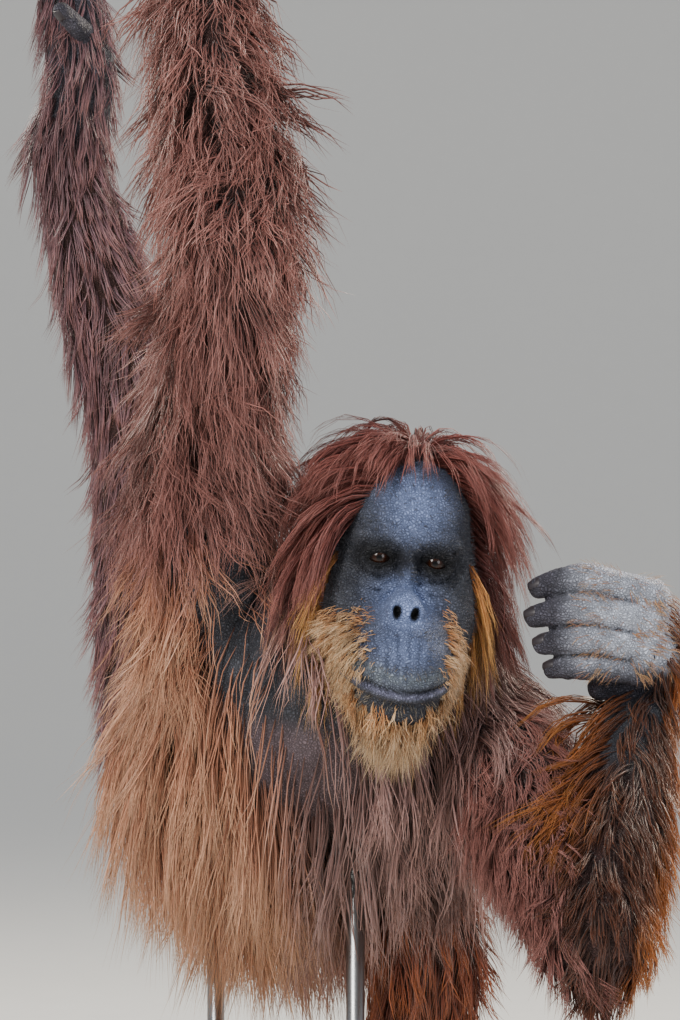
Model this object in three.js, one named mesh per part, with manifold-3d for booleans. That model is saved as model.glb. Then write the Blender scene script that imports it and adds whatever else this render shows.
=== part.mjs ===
// A life-size orangutan hanging by its right hand and right foot from a cut length of branch,
// with its left hand raised beside its face and its left foot down, on a plain display stand.
// Millimetres, +Z up, +X to the right of someone who faces the animal, which looks along -Y.
// The origin is the middle of the underside of the base.

import * as THREE from 'three';
import { mergeVertices } from 'three/addons/utils/BufferGeometryUtils.js';
import Module from 'manifold-3d';

const wasm = await Module();
wasm.setup();

const at = (x, y, z) => new THREE.Vector3(x, y, z);

// Clearance between touching pieces
const GAP = 0.3;

// Stand
const BASE_WIDTH = 560;
const BASE_DEPTH = 560;
const BASE_THICKNESS = 24;
const BASE_CORNER = 50;
const BASE_BEVEL = 3;
const ROD_RADIUS = 9;
const ROD_SOCKET = 14;
const FRONT_ROD = at(35, -120, 470);
const REAR_ROD = at(-110, 150, 440);

// Branch that the right hand and foot hold
const PERCH_RADIUS = 25;
const PERCH_FRONT = at(-28, -244, 1435);
const PERCH_BACK = at(-396, 214, 1295);
const HAND_GRIP = at(-120, -130, 1400);
const FOOT_GRIP = at(-305, 100, 1330);

// Joints of the body
const RIGHT_SHOULDER = at(-101, -140, 680);
const RIGHT_ELBOW = at(-72, -280, 990);
const RIGHT_WRIST = at(-115, -160, 1312);
const LEFT_SHOULDER = at(175, -150, 515);
const LEFT_ELBOW = at(249, -440, 371);
const LEFT_WRIST = at(307, -180, 577);
const RIGHT_HIP = at(-150, 165, 540);
const RIGHT_KNEE = at(-187, 142, 848);
const RIGHT_ANKLE = at(-268, 126, 1137);
const LEFT_HIP = at(-40, 160, 465);
const LEFT_KNEE = at(110, -40, 330);
const LEFT_ANKLE = at(82, 30, 78);

// Head
const HEAD_CENTRE = at(75, -190, 704);
const HEAD_TURN = THREE.MathUtils.degToRad(6.5);
const HEAD_TILT = THREE.MathUtils.degToRad(6.5);
const EYE_SPACING = 53;
const EYE_RADIUS = 13;

// Coat: the body's own surface takes a share of its depth, and locks of hair lie over it
const COAT_SHARE = 0.4;
const LOCK_SINK = 11;
const LOCK_STEPS = 3;
const LOCK_THICKNESS = 0.17;
const LOCK_CLEARANCE = 5;

// Materials

const finish = (color, roughness, metalness = 0) =>
  new THREE.MeshStandardMaterial({ color, roughness, metalness });

const COAT = finish('#7d4630', 0.8);
const BARE_SKIN = finish('#4f4a55', 0.55);
const HAND_SKIN = finish('#5f5a62', 0.5);
const EYE = finish('#2a1510', 0.15);
const BARK = finish('#8a7358', 0.85);
const BASE_WOOD = finish('#b9a184', 0.5);
const STEEL = finish('#9a9a98', 0.35, 0.9);

// Closed shapes and their joins

function solidOf(geometry, nearness = 1e-4) {
  const plain = geometry.clone();
  plain.deleteAttribute('normal');
  plain.deleteAttribute('uv');
  const merged = mergeVertices(plain, nearness);
  return new wasm.Manifold(
    new wasm.Mesh({
      numProp: 3,
      vertProperties: new Float32Array(merged.attributes.position.array),
      triVerts: new Uint32Array(merged.index.array),
    }),
  );
}

function geometryOf(solid) {
  const mesh = solid.getMesh();
  const geometry = new THREE.BufferGeometry();
  geometry.setAttribute('position', new THREE.BufferAttribute(mesh.vertProperties, 3));
  geometry.setIndex(new THREE.BufferAttribute(mesh.triVerts, 1));
  geometry.computeVertexNormals();
  return geometry;
}

const join = (solids) => solids.reduce((sum, next) => sum.add(next));

function largestOf(solid) {
  const pieces = solid.decompose();
  return pieces.reduce((best, next) => (next.volume() > best.volume() ? next : best));
}

// An ellipsoid, turned by a rotation and set at a point
function ball(centre, radii, grow = 0, turn = new THREE.Matrix4(), around = 12, up = 8) {
  const geometry = new THREE.SphereGeometry(1, around, up);
  geometry.scale(radii[0] + grow, radii[1] + grow, radii[2] + grow);
  geometry.applyMatrix4(turn);
  geometry.translate(centre.x, centre.y, centre.z);
  return solidOf(geometry);
}

// A form is a body of elliptical sections along a smooth path. Each of its stations gives a
// point, a half width along the side direction and a half thickness across it.
function sectionAt({ stations, side }, share) {
  const path = new THREE.CatmullRomCurve3(stations.map((s) => s.point), false, 'centripetal');
  const last = stations.length - 1;
  const k = Math.min(last - 1, Math.floor(share * last));
  const blend = THREE.MathUtils.smoothstep(share * last - k, 0, 1);
  const along = path.getTangent(share);
  const across = side.clone().addScaledVector(along, -side.dot(along)).normalize();
  return {
    centre: path.getPoint(share),
    along,
    across,
    over: along.clone().cross(across),
    width: THREE.MathUtils.lerp(stations[k].width, stations[k + 1].width, blend),
    depth: THREE.MathUtils.lerp(stations[k].depth, stations[k + 1].depth, blend),
  };
}

const edgeOf = ({ centre, across, over, width, depth }, angle) =>
  centre
    .clone()
    .addScaledVector(across, Math.cos(angle) * width)
    .addScaledVector(over, Math.sin(angle) * depth);

// The closed solid of a form, with rounded ends
function loft(form, grow = 0) {
  const { sides = 10, rings = 6, round = 0.8 } = form;
  const sections = [];
  for (let i = 0; i <= rings; i += 1) {
    const section = sectionAt(form, i / rings);
    section.width += grow;
    section.depth += grow;
    sections.push(section);
  }
  const capOf = (section, way) =>
    [0.5, 0.87].map((lift) => {
      const reach = Math.min(section.width, section.depth) * round * lift;
      const shrink = Math.sqrt(1 - lift * lift);
      return {
        ...section,
        centre: section.centre.clone().addScaledVector(section.along, way * reach),
        width: section.width * shrink,
        depth: section.depth * shrink,
      };
    });
  const first = sections[0];
  const final = sections[rings];
  const all = [...capOf(first, -1).reverse(), ...sections, ...capOf(final, 1)];
  const tip = (section, way) =>
    section.centre
      .clone()
      .addScaledVector(section.along, way * Math.min(section.width, section.depth) * round);
  const positions = [];
  for (const section of all) {
    for (let j = 0; j < sides; j += 1) {
      positions.push(...edgeOf(section, (2 * Math.PI * j) / sides).toArray());
    }
  }
  positions.push(...tip(first, -1).toArray(), ...tip(final, 1).toArray());
  const triangles = [];
  const rows = all.length;
  for (let i = 0; i < rows - 1; i += 1) {
    for (let j = 0; j < sides; j += 1) {
      const a = i * sides + j;
      const b = i * sides + ((j + 1) % sides);
      triangles.push(a, b, b + sides, a, b + sides, a + sides);
    }
  }
  for (let j = 0; j < sides; j += 1) {
    const next = (j + 1) % sides;
    triangles.push(rows * sides, next, j);
    triangles.push(rows * sides + 1, (rows - 1) * sides + j, (rows - 1) * sides + next);
  }
  const geometry = new THREE.BufferGeometry();
  geometry.setAttribute('position', new THREE.Float32BufferAttribute(positions, 3));
  geometry.setIndex(triangles);
  return solidOf(geometry);
}

// Stations along a straight bone: share of its length, half width, half thickness, coat depth
function bone(from, to, rows, bow = at(0, 0, 0)) {
  return rows.map(([share, width, depth, coat]) => ({
    point: from
      .clone()
      .lerp(to, share)
      .addScaledVector(bow, 4 * share * (1 - share)),
    width: width + coat * COAT_SHARE,
    depth: depth + coat * COAT_SHARE,
  }));
}

// Arms and legs

const ACROSS = at(1, 0, 0);
const perchAxis = PERCH_BACK.clone().sub(PERCH_FRONT).normalize();

const forms = {};

forms.right_upper_arm = {
  side: ACROSS, sides: 9, rings: 4,
  stations: bone(RIGHT_SHOULDER, RIGHT_ELBOW, [
    [-0.1, 56, 52, 18],
    [0.15, 58, 54, 32],
    [0.5, 50, 47, 36],
    [0.85, 45, 43, 34],
    [1.0, 42, 40, 32],
  ], at(-14, 0, 0)),
};

forms.right_forearm = {
  side: perchAxis, sides: 9, rings: 4,
  stations: bone(RIGHT_ELBOW, RIGHT_WRIST, [
    [0.02, 44, 44, 36],
    [0.25, 48, 46, 34],
    [0.6, 40, 37, 32],
    [0.9, 31, 25, 22],
    [1.0, 30, 22, 12],
  ]),
};

forms.left_upper_arm = {
  side: ACROSS, sides: 9, rings: 4,
  stations: bone(LEFT_SHOULDER, LEFT_ELBOW, [
    [-0.15, 54, 52, 16],
    [0.1, 58, 58, 22],
    [0.5, 52, 50, 26],
    [0.85, 46, 44, 26],
    [0.98, 42, 40, 22],
  ]),
};

forms.left_forearm = {
  side: ACROSS, sides: 9, rings: 4,
  stations: bone(LEFT_ELBOW, LEFT_WRIST, [
    [0.02, 42, 42, 24],
    [0.25, 46, 44, 32],
    [0.6, 40, 36, 30],
    [0.9, 30, 25, 18],
    [1.0, 29, 22, 10],
  ]),
};

forms.right_thigh = {
  side: ACROSS, sides: 9, rings: 4,
  stations: bone(RIGHT_HIP, RIGHT_KNEE, [
    [-0.05, 74, 74, 20],
    [0.25, 72, 72, 30],
    [0.6, 60, 60, 30],
    [0.95, 50, 50, 28],
  ]),
};

forms.right_shin = {
  side: ACROSS, sides: 9, rings: 4,
  stations: bone(RIGHT_KNEE, RIGHT_ANKLE, [
    [0.02, 48, 50, 26],
    [0.3, 49, 48, 24],
    [0.6, 43, 42, 20],
    [0.9, 35, 34, 17],
    [1.0, 34, 32, 14],
  ]),
};

forms.left_thigh = {
  side: ACROSS, sides: 9, rings: 4,
  stations: bone(LEFT_HIP, LEFT_KNEE, [
    [-0.05, 74, 74, 14],
    [0.25, 72, 70, 24],
    [0.6, 60, 58, 28],
    [0.95, 48, 48, 24],
  ]),
};

forms.left_shin = {
  side: ACROSS, sides: 9, rings: 4,
  stations: bone(LEFT_KNEE, LEFT_ANKLE, [
    [0.02, 46, 48, 22],
    [0.3, 46, 46, 26],
    [0.6, 38, 40, 24],
    [0.9, 30, 32, 14],
    [0.97, 30, 32, 8],
  ]),
};

// Hands and feet that hold the branch. Angles run round the branch from its underside, and the
// palm or sole lies on the side that faces away from the body's right.
function gripFrame(grip, joint) {
  const down = joint.clone().sub(grip);
  down.addScaledVector(perchAxis, -down.dot(perchAxis)).normalize();
  const out = down.clone().cross(perchAxis).normalize();
  return (offset, angle, radius) =>
    grip
      .clone()
      .addScaledVector(perchAxis, offset)
      .addScaledVector(down, Math.cos(angle) * radius)
      .addScaledVector(out, Math.sin(angle) * radius);
}

const DIGIT_NAMES = ['index', 'middle', 'ring', 'little'];
const TOE_NAMES = ['second_toe', 'third_toe', 'fourth_toe', 'fifth_toe'];
const radians = THREE.MathUtils.degToRad;

function gripDigits(prefix, names, place, size) {
  names.forEach((name, i) => {
    const offset = (i - 1.5) * size.pitch;
    const radius = size.radii[i];
    const reach = PERCH_RADIUS + radius + 0.5;
    const stations = [];
    for (let k = 0; k <= 5; k += 1) {
      const angle = radians(THREE.MathUtils.lerp(size.start, size.ends[i], k / 5));
      const taper = THREE.MathUtils.lerp(1.05, 0.8, k / 5);
      stations.push({
        point: place(offset, angle, reach + 2 * Math.sin((k / 5) * Math.PI)),
        width: radius * taper,
        depth: radius * taper,
      });
    }
    forms[`${prefix}_${name}`] = { side: perchAxis, sides: 6, rings: 4, round: 0.9, stations };
  });
}

const handPlace = gripFrame(HAND_GRIP, RIGHT_WRIST);
gripDigits('right', DIGIT_NAMES, handPlace, {
  pitch: 23,
  radii: [11.5, 12, 11.5, 10.5],
  start: 96,
  ends: [262, 275, 272, 255],
});
forms.right_thumb = {
  side: perchAxis, sides: 6, rings: 3, round: 0.9,
  stations: [
    { point: handPlace(-30, radians(22), 62), width: 13, depth: 12 },
    { point: handPlace(-46, radians(4), 50), width: 11, depth: 11 },
    { point: handPlace(-58, radians(-22), 42), width: 9, depth: 9 },
  ],
};
forms.right_hand = {
  side: perchAxis, sides: 8, rings: 4, round: 0.8,
  stations: [
    { point: RIGHT_WRIST.clone(), width: 30, depth: 22 },
    { point: handPlace(-2, radians(28), 66), width: 40, depth: 20 },
    { point: handPlace(0, radians(58), 48), width: 46, depth: 17 },
    { point: handPlace(0, radians(92), 41), width: 47, depth: 14 },
  ],
};

const footPlace = gripFrame(FOOT_GRIP, RIGHT_ANKLE);
gripDigits('right', TOE_NAMES, footPlace, {
  pitch: 21,
  radii: [11, 11.5, 11, 10],
  start: 96,
  ends: [250, 262, 258, 245],
});
forms.right_big_toe = {
  side: perchAxis, sides: 6, rings: 3, round: 0.9,
  stations: [
    { point: footPlace(-26, radians(14), 112), width: 13, depth: 13 },
    { point: footPlace(-42, radians(0), 92), width: 11, depth: 11 },
    { point: footPlace(-50, radians(-14), 78), width: 9, depth: 9 },
  ],
};
forms.right_foot = {
  side: perchAxis, sides: 8, rings: 4, round: 0.8,
  stations: [
    { point: RIGHT_ANKLE.clone().add(at(4, 14, -8)), width: 34, depth: 38 },
    { point: footPlace(0, radians(7), 140), width: 38, depth: 34 },
    { point: footPlace(0, radians(24), 84), width: 40, depth: 27 },
    { point: footPlace(0, radians(58), 50), width: 42, depth: 18 },
    { point: footPlace(0, radians(90), 41), width: 43, depth: 14 },
  ],
};

// Left hand, back of the hand to the right, fingers stacked and pointing left
const UPRIGHT = at(0, 0, 1);
const leftFingers = {
  index: { knuckle: at(301, -240, 682), lift: 16, tip: at(202, -246, 686), radius: 13 },
  middle: { knuckle: at(297, -247, 656), lift: 8, tip: at(198, -250, 658), radius: 13.5 },
  ring: { knuckle: at(292, -246, 631), lift: 4, tip: at(206, -250, 631), radius: 13 },
  little: { knuckle: at(288, -240, 608), lift: 2, tip: at(216, -246, 608), radius: 12 },
};
for (const [name, finger] of Object.entries(leftFingers)) {
  const middle = finger.knuckle.clone().lerp(finger.tip, 0.5).add(at(0, -14, finger.lift));
  const stations = [
    { point: finger.knuckle.clone().add(at(12, 6, -2)), width: finger.radius, depth: finger.radius },
    { point: finger.knuckle.clone().lerp(middle, 0.6), width: finger.radius * 1.05, depth: 14 },
    { point: middle, width: finger.radius * 1.02, depth: 13 },
    { point: finger.tip, width: finger.radius * 0.8, depth: 10.5 },
  ];
  forms[`left_${name}`] = { side: UPRIGHT, sides: 6, rings: 4, round: 0.95, stations };
}
forms.left_thumb = {
  side: UPRIGHT, sides: 6, rings: 3, round: 0.9,
  stations: [
    { point: at(300, -192, 620), width: 14, depth: 13 },
    { point: at(270, -196, 636), width: 12, depth: 12 },
    { point: at(246, -204, 642), width: 9, depth: 9 },
  ],
};
forms.left_hand = {
  side: UPRIGHT, sides: 8, rings: 4, round: 0.6,
  stations: [
    { point: LEFT_WRIST.clone(), width: 24, depth: 28 },
    { point: at(318, -196, 615), width: 38, depth: 26 },
    { point: at(316, -222, 642), width: 48, depth: 24 },
    { point: at(300, -236, 647), width: 47, depth: 18 },
  ],
};

// Left foot, flat on the base
const SOLE = BASE_THICKNESS + GAP;
TOE_NAMES.forEach((name, i) => {
  const spread = radians(-4 + 9 * i);
  const root = at(96 + 18 * i, -62 + 5 * i, SOLE + 19);
  const reach = [86, 92, 86, 74][i];
  const ahead = (share, height) =>
    root
      .clone()
      .add(at(Math.sin(spread) * reach * share, -Math.cos(spread) * reach * share, height));
  const stations = [
    { point: ahead(-0.15, 0), width: 11.5, depth: 11.5 },
    { point: ahead(0.45, 6), width: 11.5, depth: 11 },
    { point: ahead(1, -8), width: 9.5, depth: 9 },
  ];
  forms[`left_${name}`] = { side: ACROSS, sides: 6, rings: 3, round: 0.9, stations };
});
forms.left_big_toe = {
  side: ACROSS, sides: 6, rings: 3, round: 0.9,
  stations: [
    { point: at(74, -6, SOLE + 20), width: 14, depth: 13 },
    { point: at(50, -28, SOLE + 17), width: 12, depth: 11 },
    { point: at(32, -44, SOLE + 12), width: 10, depth: 10 },
  ],
};
forms.left_foot = {
  side: ACROSS, sides: 8, rings: 4, round: 0.7,
  stations: [
    { point: at(76, 64, SOLE + 24), width: 30, depth: 28 },
    { point: at(82, 20, SOLE + 30), width: 34, depth: 34 },
    { point: at(104, -30, SOLE + 22), width: 40, depth: 26 },
    { point: at(118, -62, SOLE + 18), width: 42, depth: 19 },
  ],
};

// Trunk, leaning away from the front, with the left side lower than the right
const FLANK = at(0.86, 0, -0.51);
const trunk = (rows) =>
  rows.map(([x, y, z, width, depth, coat]) => ({
    point: at(x, y, z),
    width: width + coat * COAT_SHARE,
    depth: depth + coat * COAT_SHARE,
  }));

forms.chest = {
  side: FLANK, sides: 12, rings: 3, round: 0.45,
  stations: trunk([
    [46, -160, 602, 96, 74, 10],
    [36, -135, 584, 150, 108, 14],
    [20, -90, 558, 163, 130, 18],
    [-5, -28, 535, 155, 132, 22],
  ]),
};

forms.abdomen = {
  side: FLANK, sides: 12, rings: 3, round: 0.6,
  stations: trunk([
    [8, -60, 520, 140, 136, 18],
    [-22, 10, 508, 146, 142, 22],
    [-62, 90, 500, 138, 130, 26],
  ]),
};

forms.pelvis = {
  side: FLANK, sides: 12, rings: 3, round: 0.8,
  stations: trunk([
    [-62, 85, 500, 124, 118, 24],
    [-88, 140, 497, 126, 114, 32],
    [-108, 185, 495, 104, 92, 36],
  ]),
};

forms.neck = {
  side: ACROSS, sides: 12, rings: 3, round: 0.5,
  stations: [
    { point: at(48, -118, 606), width: 78, depth: 66 },
    { point: at(60, -150, 640), width: 70, depth: 64 },
    { point: at(72, -172, 676), width: 66, depth: 64 },
  ],
};

// Head, worked out about its own centre and then turned and tilted
const headTurn = new THREE.Matrix4()
  .makeRotationZ(HEAD_TURN)
  .multiply(new THREE.Matrix4().makeRotationY(HEAD_TILT));
const onHead = (x, y, z) => at(x, y, z).applyMatrix4(headTurn).add(HEAD_CENTRE);
const eyePlace = (way) => onHead((way * EYE_SPACING) / 2, -60, 6);
const headBall = ([x, y, z], radii, grow = 0, { turn = headTurn, around = 12, up = 8 } = {}) =>
  ball(onHead(x, y, z), radii, grow, turn, around, up);

// A rounded ridge along points given about the head's centre
const ridge = (points, width, depth, grow = 0, rings = 5) =>
  loft(
    {
      side: at(0, 0.3, 1).applyMatrix4(headTurn),
      sides: 4,
      rings,
      round: 0.9,
      stations: points.map(([x, y, z], i) => {
        const ends = i === 0 || i === points.length - 1 ? 0.5 : 1;
        return { point: onHead(x, y, z), width: width * ends, depth: depth * ends };
      }),
    },
    grow);

const MOUTH = [[-52, -86, -98], [-30, -116, -109], [2, -132, -115], [31, -117, -110], [50, -90, -99]];
const raised = (points, out, up) =>
  points.map(([x, y, z]) => [x * (1 + out * 0.004), y - out, z + up]);

// Skull, face, brow, jaw, muzzle, nose and chin
const headBalls = [
  { place: [0, 10, 44], radii: [68, 80, 75] },
  { place: [0, -12, -14], radii: [74, 60, 74] },
  { place: [0, -58, 27], radii: [54, 23, 15] },
  { place: [0, -30, -92], radii: [62, 60, 54] },
  { place: [1, -78, -86], radii: [53, 56, 54] },
  { place: [-2, -98, -38], radii: [18, 23, 16] },
  { place: [3, -80, -126], radii: [40, 38, 21] },
];
const EAR = { x: 76, y: 14, z: -2, radii: [9, 15, 21] };
const CUP = { x: 86, y: 8, z: -2, radii: [9, 10, 15] };

// One surface over those balls: rays from inside the head, each as long as it takes to leave them,
// with the balls blended into one another where they meet
const HEAD_BLEND = 14;
function headDistance(x, y, z) {
  return headBalls.reduce((sum, { place, radii }) => {
    const [a, b, c] = [x - place[0], y - place[1], z - place[2]];
    const scale = Math.hypot(a / radii[0], b / radii[1], c / radii[2]);
    const slope = Math.hypot(a / radii[0] ** 2, b / radii[1] ** 2, c / radii[2] ** 2);
    const distance = ((scale - 1) * scale) / slope;
    const share = THREE.MathUtils.clamp(0.5 + (sum - distance) / (2 * HEAD_BLEND), 0, 1);
    return THREE.MathUtils.lerp(sum, distance, share) - HEAD_BLEND * share * (1 - share);
  }, 1000);
}

function headFlesh(grow) {
  const skin = new THREE.SphereGeometry(1, 22, 16);
  skin.rotateX(Math.PI / 2);
  const spots = skin.attributes.position;
  const way = at(0, 0, 0);
  for (let i = 0; i < spots.count; i += 1) {
    way.fromBufferAttribute(spots, i);
    let reach = 190;
    for (let k = 0; k < 40; k += 1) {
      const [x, y, z] = [way.x * reach, way.y * reach - 25, way.z * reach - 25];
      reach -= 0.7 * headDistance(x, y, z);
    }
    way.multiplyScalar(reach + grow);
    spots.setXYZ(i, ...onHead(way.x, way.y - 25, way.z - 25).toArray());
  }
  const parts = [solidOf(skin)];
  parts.push(ridge(raised(MOUTH, 0, 6), 6, 5, grow), ridge(raised(MOUTH, 0, -7), 7, 6, grow));
  for (const way of [-1, 1]) {
    const lidArc = (rise) =>
      [-16, -9, 0, 9, 16].map((x) => [
        (way * EYE_SPACING) / 2 + x,
        -71 + (x * x) / 40,
        6 + rise * (1 - (x * x) / 300) - 0.08 * x * way,
      ]);
    parts.push(ridge(lidArc(9), 4, 5, grow, 4), ridge(lidArc(-8), 4, 4, grow, 4));
  }
  return join(parts);
}

// Eye slits, nostrils and the line of the mouth
function headOpenings() {
  const cuts = [ridge(raised(MOUTH, 4, -1), 1.6, 6, 0, 5)];
  for (const way of [-1, 1]) {
    cuts.push(headBall([(way * EYE_SPACING) / 2, -74, 6], [14, 16, 7], 0, { around: 10, up: 6 }));
    const slant = headTurn.clone().multiply(new THREE.Matrix4().makeRotationY(way * radians(24)));
    cuts.push(headBall([-3 + way * 8.5, -121, -43], [4.2, 9, 8], 0, { turn: slant, around: 8, up: 6 }));
  }
  return join(cuts);
}

// Coat. What the locks keep clear of is a list of ellipsoids: short lengths of every form, and
// the balls of the head.
const bodies = [];
for (const [name, form] of Object.entries(forms)) {
  for (let i = 0; i <= 8; i += 1) {
    const { centre, along, across, over, width, depth } = sectionAt(form, i / 8);
    const reach = Math.max(Math.min(width, depth), 10);
    bodies.push({ name, centre, axes: [across, over, along], radii: [width, depth, reach] });
  }
}
const headAxes = [0, 1, 2].map((k) => new THREE.Vector3().setFromMatrixColumn(headTurn, k));
for (const { place, radii } of headBalls) {
  bodies.push({ name: 'head', centre: onHead(...place), axes: headAxes, radii });
}
for (const way of [-1, 1]) {
  const centre = onHead(way * EAR.x, EAR.y, EAR.z);
  bodies.push({ name: 'ear', centre, axes: headAxes, radii: EAR.radii });
}

// How far a point lies outside the nearest body, and the way out of it
function nearestBody(point, skips = () => false) {
  let best = { distance: Infinity, name: '', normal: UPRIGHT };
  for (const body of bodies) {
    if (skips(body.name)) continue;
    const from = point.clone().sub(body.centre);
    const normal = at(0, 0, 0);
    let squares = 0;
    body.axes.forEach((axis, k) => {
      const share = from.dot(axis) / body.radii[k];
      squares += share * share;
      normal.addScaledVector(axis, share / body.radii[k]);
    });
    const scale = Math.sqrt(squares);
    const slope = normal.length();
    const distance = slope > 0 ? ((scale - 1) * scale) / slope : -Math.min(...body.radii);
    if (distance < best.distance) best = { distance, name: body.name, normal: normal.normalize() };
  }
  return best;
}

// Steady random numbers between 0 and 1
let state = 20251;
function random() {
  state = (Math.imul(state, 1664525) + 1013904223) >>> 0;
  return state / 4294967296;
}
const varied = (size, share) => size * (1 + share * (2 * random() - 1));

// The centre line of a lock. It starts under the surface, leaves it along the flow of the hair,
// rises to its height and hangs more and more towards its tip, outside every body that it meets.
function lockLine(root, normal, flow, { own, length, rise, weight }) {
  const start = root.clone().addScaledVector(normal, -LOCK_SINK);
  const way = flow.clone().addScaledVector(normal, -flow.dot(normal)).normalize();
  way.addScaledVector(normal, 0.35).normalize();
  const points = [start];
  const normals = [normal];
  let here = start;
  for (let k = 1; k <= LOCK_STEPS; k += 1) {
    const share = k / LOCK_STEPS;
    way.addScaledVector(UPRIGHT, -weight * share).normalize();
    here = here.clone().addScaledVector(way, length / LOCK_STEPS);
    const near = nearestBody(here);
    const height = near.name === own ? rise * Math.min(1, share * 1.5) : LOCK_CLEARANCE + rise / 2;
    if (near.distance < height) here.addScaledVector(near.normal, height - near.distance);
    way.copy(here).sub(points[k - 1]).normalize();
    points.push(here);
    normals.push(normals[k - 1].clone().lerp(near.normal, 0.4).normalize());
  }
  return { points, normals };
}

// The closed solid of a lock: a flat blade with a low ridge along its back, widest a third of the
// way along, that ends in a point
const LOCK_PROFILE = [0.5, 1, 0.75];
// How much further a lock's thin edges move than its faces when it grows all round
const LOCK_SPREAD = 7;
function lockSolid({ points, normals, width }, grow) {
  const positions = [];
  let before = points[1].clone().sub(points[0]).cross(normals[0]).normalize();
  for (let k = 0; k < LOCK_STEPS; k += 1) {
    const along = points[k + 1].clone().sub(points[Math.max(k - 1, 0)]).normalize();
    const across = along.clone().cross(normals[k]).add(before);
    across.addScaledVector(along, -across.dot(along)).normalize();
    before = across.clone();
    const out = across.clone().cross(along);
    const half = (width * LOCK_PROFILE[k]) / 2 + grow * LOCK_SPREAD;
    const thick = width * LOCK_PROFILE[k] * LOCK_THICKNESS;
    const low = points[k].clone().addScaledVector(out, -thick / 2 - grow);
    const high = points[k].clone().addScaledVector(out, thick / 2 + grow * 2);
    positions.push(...low.clone().addScaledVector(across, -half).toArray());
    positions.push(...low.clone().addScaledVector(across, half).toArray());
    positions.push(...high.toArray());
  }
  const last = points[LOCK_STEPS];
  const end = last.clone().sub(points[LOCK_STEPS - 1]).setLength(grow * LOCK_SPREAD);
  positions.push(...last.clone().add(end).toArray());
  const triangles = [0, 1, 2];
  for (let k = 0; k < LOCK_STEPS - 1; k += 1) {
    for (let j = 0; j < 3; j += 1) {
      const a = k * 3 + j;
      const b = k * 3 + ((j + 1) % 3);
      triangles.push(a, b + 3, b, a, a + 3, b + 3);
    }
  }
  const tip = LOCK_STEPS * 3;
  for (let j = 0; j < 3; j += 1) triangles.push(tip - 3 + ((j + 1) % 3), tip - 3 + j, tip);
  const geometry = new THREE.BufferGeometry();
  geometry.setAttribute('position', new THREE.Float32BufferAttribute(positions, 3));
  geometry.setIndex(triangles);
  return solidOf(geometry);
}

const locks = {};
function addLock(own, root, normal, flow, size) {
  const line = lockLine(root, normal, flow, {
    own,
    length: varied(size.length, 0.2),
    rise: varied(size.rise, 0.35),
    weight: size.weight,
  });
  locks[own] ??= [];
  locks[own].push({ ...line, width: varied(size.width, 0.2) });
}

// Front of the chest and the armpit, where the skin is bare
const BARE_CENTRE = at(-50, -235, 600);
const BARE_RADII = at(95, 110, 110);
const isBare = (point) => point.clone().sub(BARE_CENTRE).divide(BARE_RADII).length() < 1;

// Locks in rows round a form, each row set half a step round from the last. `share` is how much
// of the flow follows the form from its first station to its last, and the rest hangs.
function coatForm(own, { rows, around, from, to, share, sweep = at(0, 0, 0), ...size }) {
  for (let i = 0; i < rows; i += 1) {
    for (let j = 0; j < around; j += 1) {
      const place = THREE.MathUtils.lerp(from, to, (i + 0.5 + 0.4 * (random() - 0.5)) / rows);
      const angle = (2 * Math.PI * (j + (i % 2) / 2 + 0.4 * (random() - 0.5))) / around;
      const section = sectionAt(forms[own], place);
      const root = edgeOf(section, angle);
      const normal = at(0, 0, 0)
        .addScaledVector(section.across, Math.cos(angle) / section.width)
        .addScaledVector(section.over, Math.sin(angle) / section.depth)
        .normalize();
      const covered = nearestBody(root, (name) => name === own).distance < 3;
      if (covered || isBare(root)) continue;
      const flow = section.along.clone().multiplyScalar(share).add(sweep);
      flow.addScaledVector(UPRIGHT, -(1 - Math.abs(share)));
      flow.add(at(random() - 0.5, random() - 0.5, random() - 0.5).multiplyScalar(0.35));
      addLock(own, root, normal, flow, size);
    }
  }
}

const LIMB_LOCK = { width: 80, weight: 0.35 };
coatForm('right_forearm', {
  ...LIMB_LOCK, rows: 3, around: 4, from: 0.08, to: 0.9, share: -0.5, length: 165, rise: 17 });
coatForm('right_upper_arm', {
  ...LIMB_LOCK, rows: 4, around: 4, from: 0.1, to: 1, share: -0.3, length: 165, rise: 22 });
coatForm('left_upper_arm', {
  ...LIMB_LOCK, rows: 3, around: 4, from: 0.1, to: 0.95, share: 0.8, length: 145, rise: 12 });
coatForm('left_forearm', {
  ...LIMB_LOCK, rows: 3, around: 4, from: 0.15, to: 0.92, share: -0.5, length: 140, rise: 20 });
coatForm('right_thigh', {
  ...LIMB_LOCK, rows: 3, around: 4, from: 0.2, to: 1, share: -0.5, length: 150, rise: 14 });
coatForm('right_shin', {
  ...LIMB_LOCK, rows: 3, around: 4, from: 0.15, to: 1, share: -0.6, length: 130, rise: 10 });
coatForm('left_thigh', {
  ...LIMB_LOCK, rows: 3, around: 4, from: 0.15, to: 0.95, share: 0.6, length: 140, rise: 14 });
coatForm('left_shin', {
  ...LIMB_LOCK, rows: 3, around: 4, from: 0.1, to: 0.8, share: 0.7, length: 115, rise: 12 });
coatForm('chest', {
  width: 92, weight: 0.5, rows: 2, around: 8, from: 0.35, to: 1, share: 0.3, length: 150, rise: 16 });
coatForm('abdomen', {
  width: 92, weight: 0.5, rows: 2, around: 8, from: 0.1, to: 0.95, share: 0.3, length: 150, rise: 18 });
coatForm('pelvis', {
  width: 92, weight: 0.45, rows: 2, around: 7, from: 0.3, to: 1, share: 0.4, length: 160, rise: 22 });

// Hair of the head: each lock from a root and a flow given about the head's centre
function headLock([x, y, z], flow, size) {
  const root = onHead(x, y, z);
  const near = nearestBody(root);
  root.addScaledVector(near.normal, -near.distance);
  const way = at(...flow).transformDirection(headTurn);
  addLock('head', root, near.normal, way, size);
}

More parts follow.
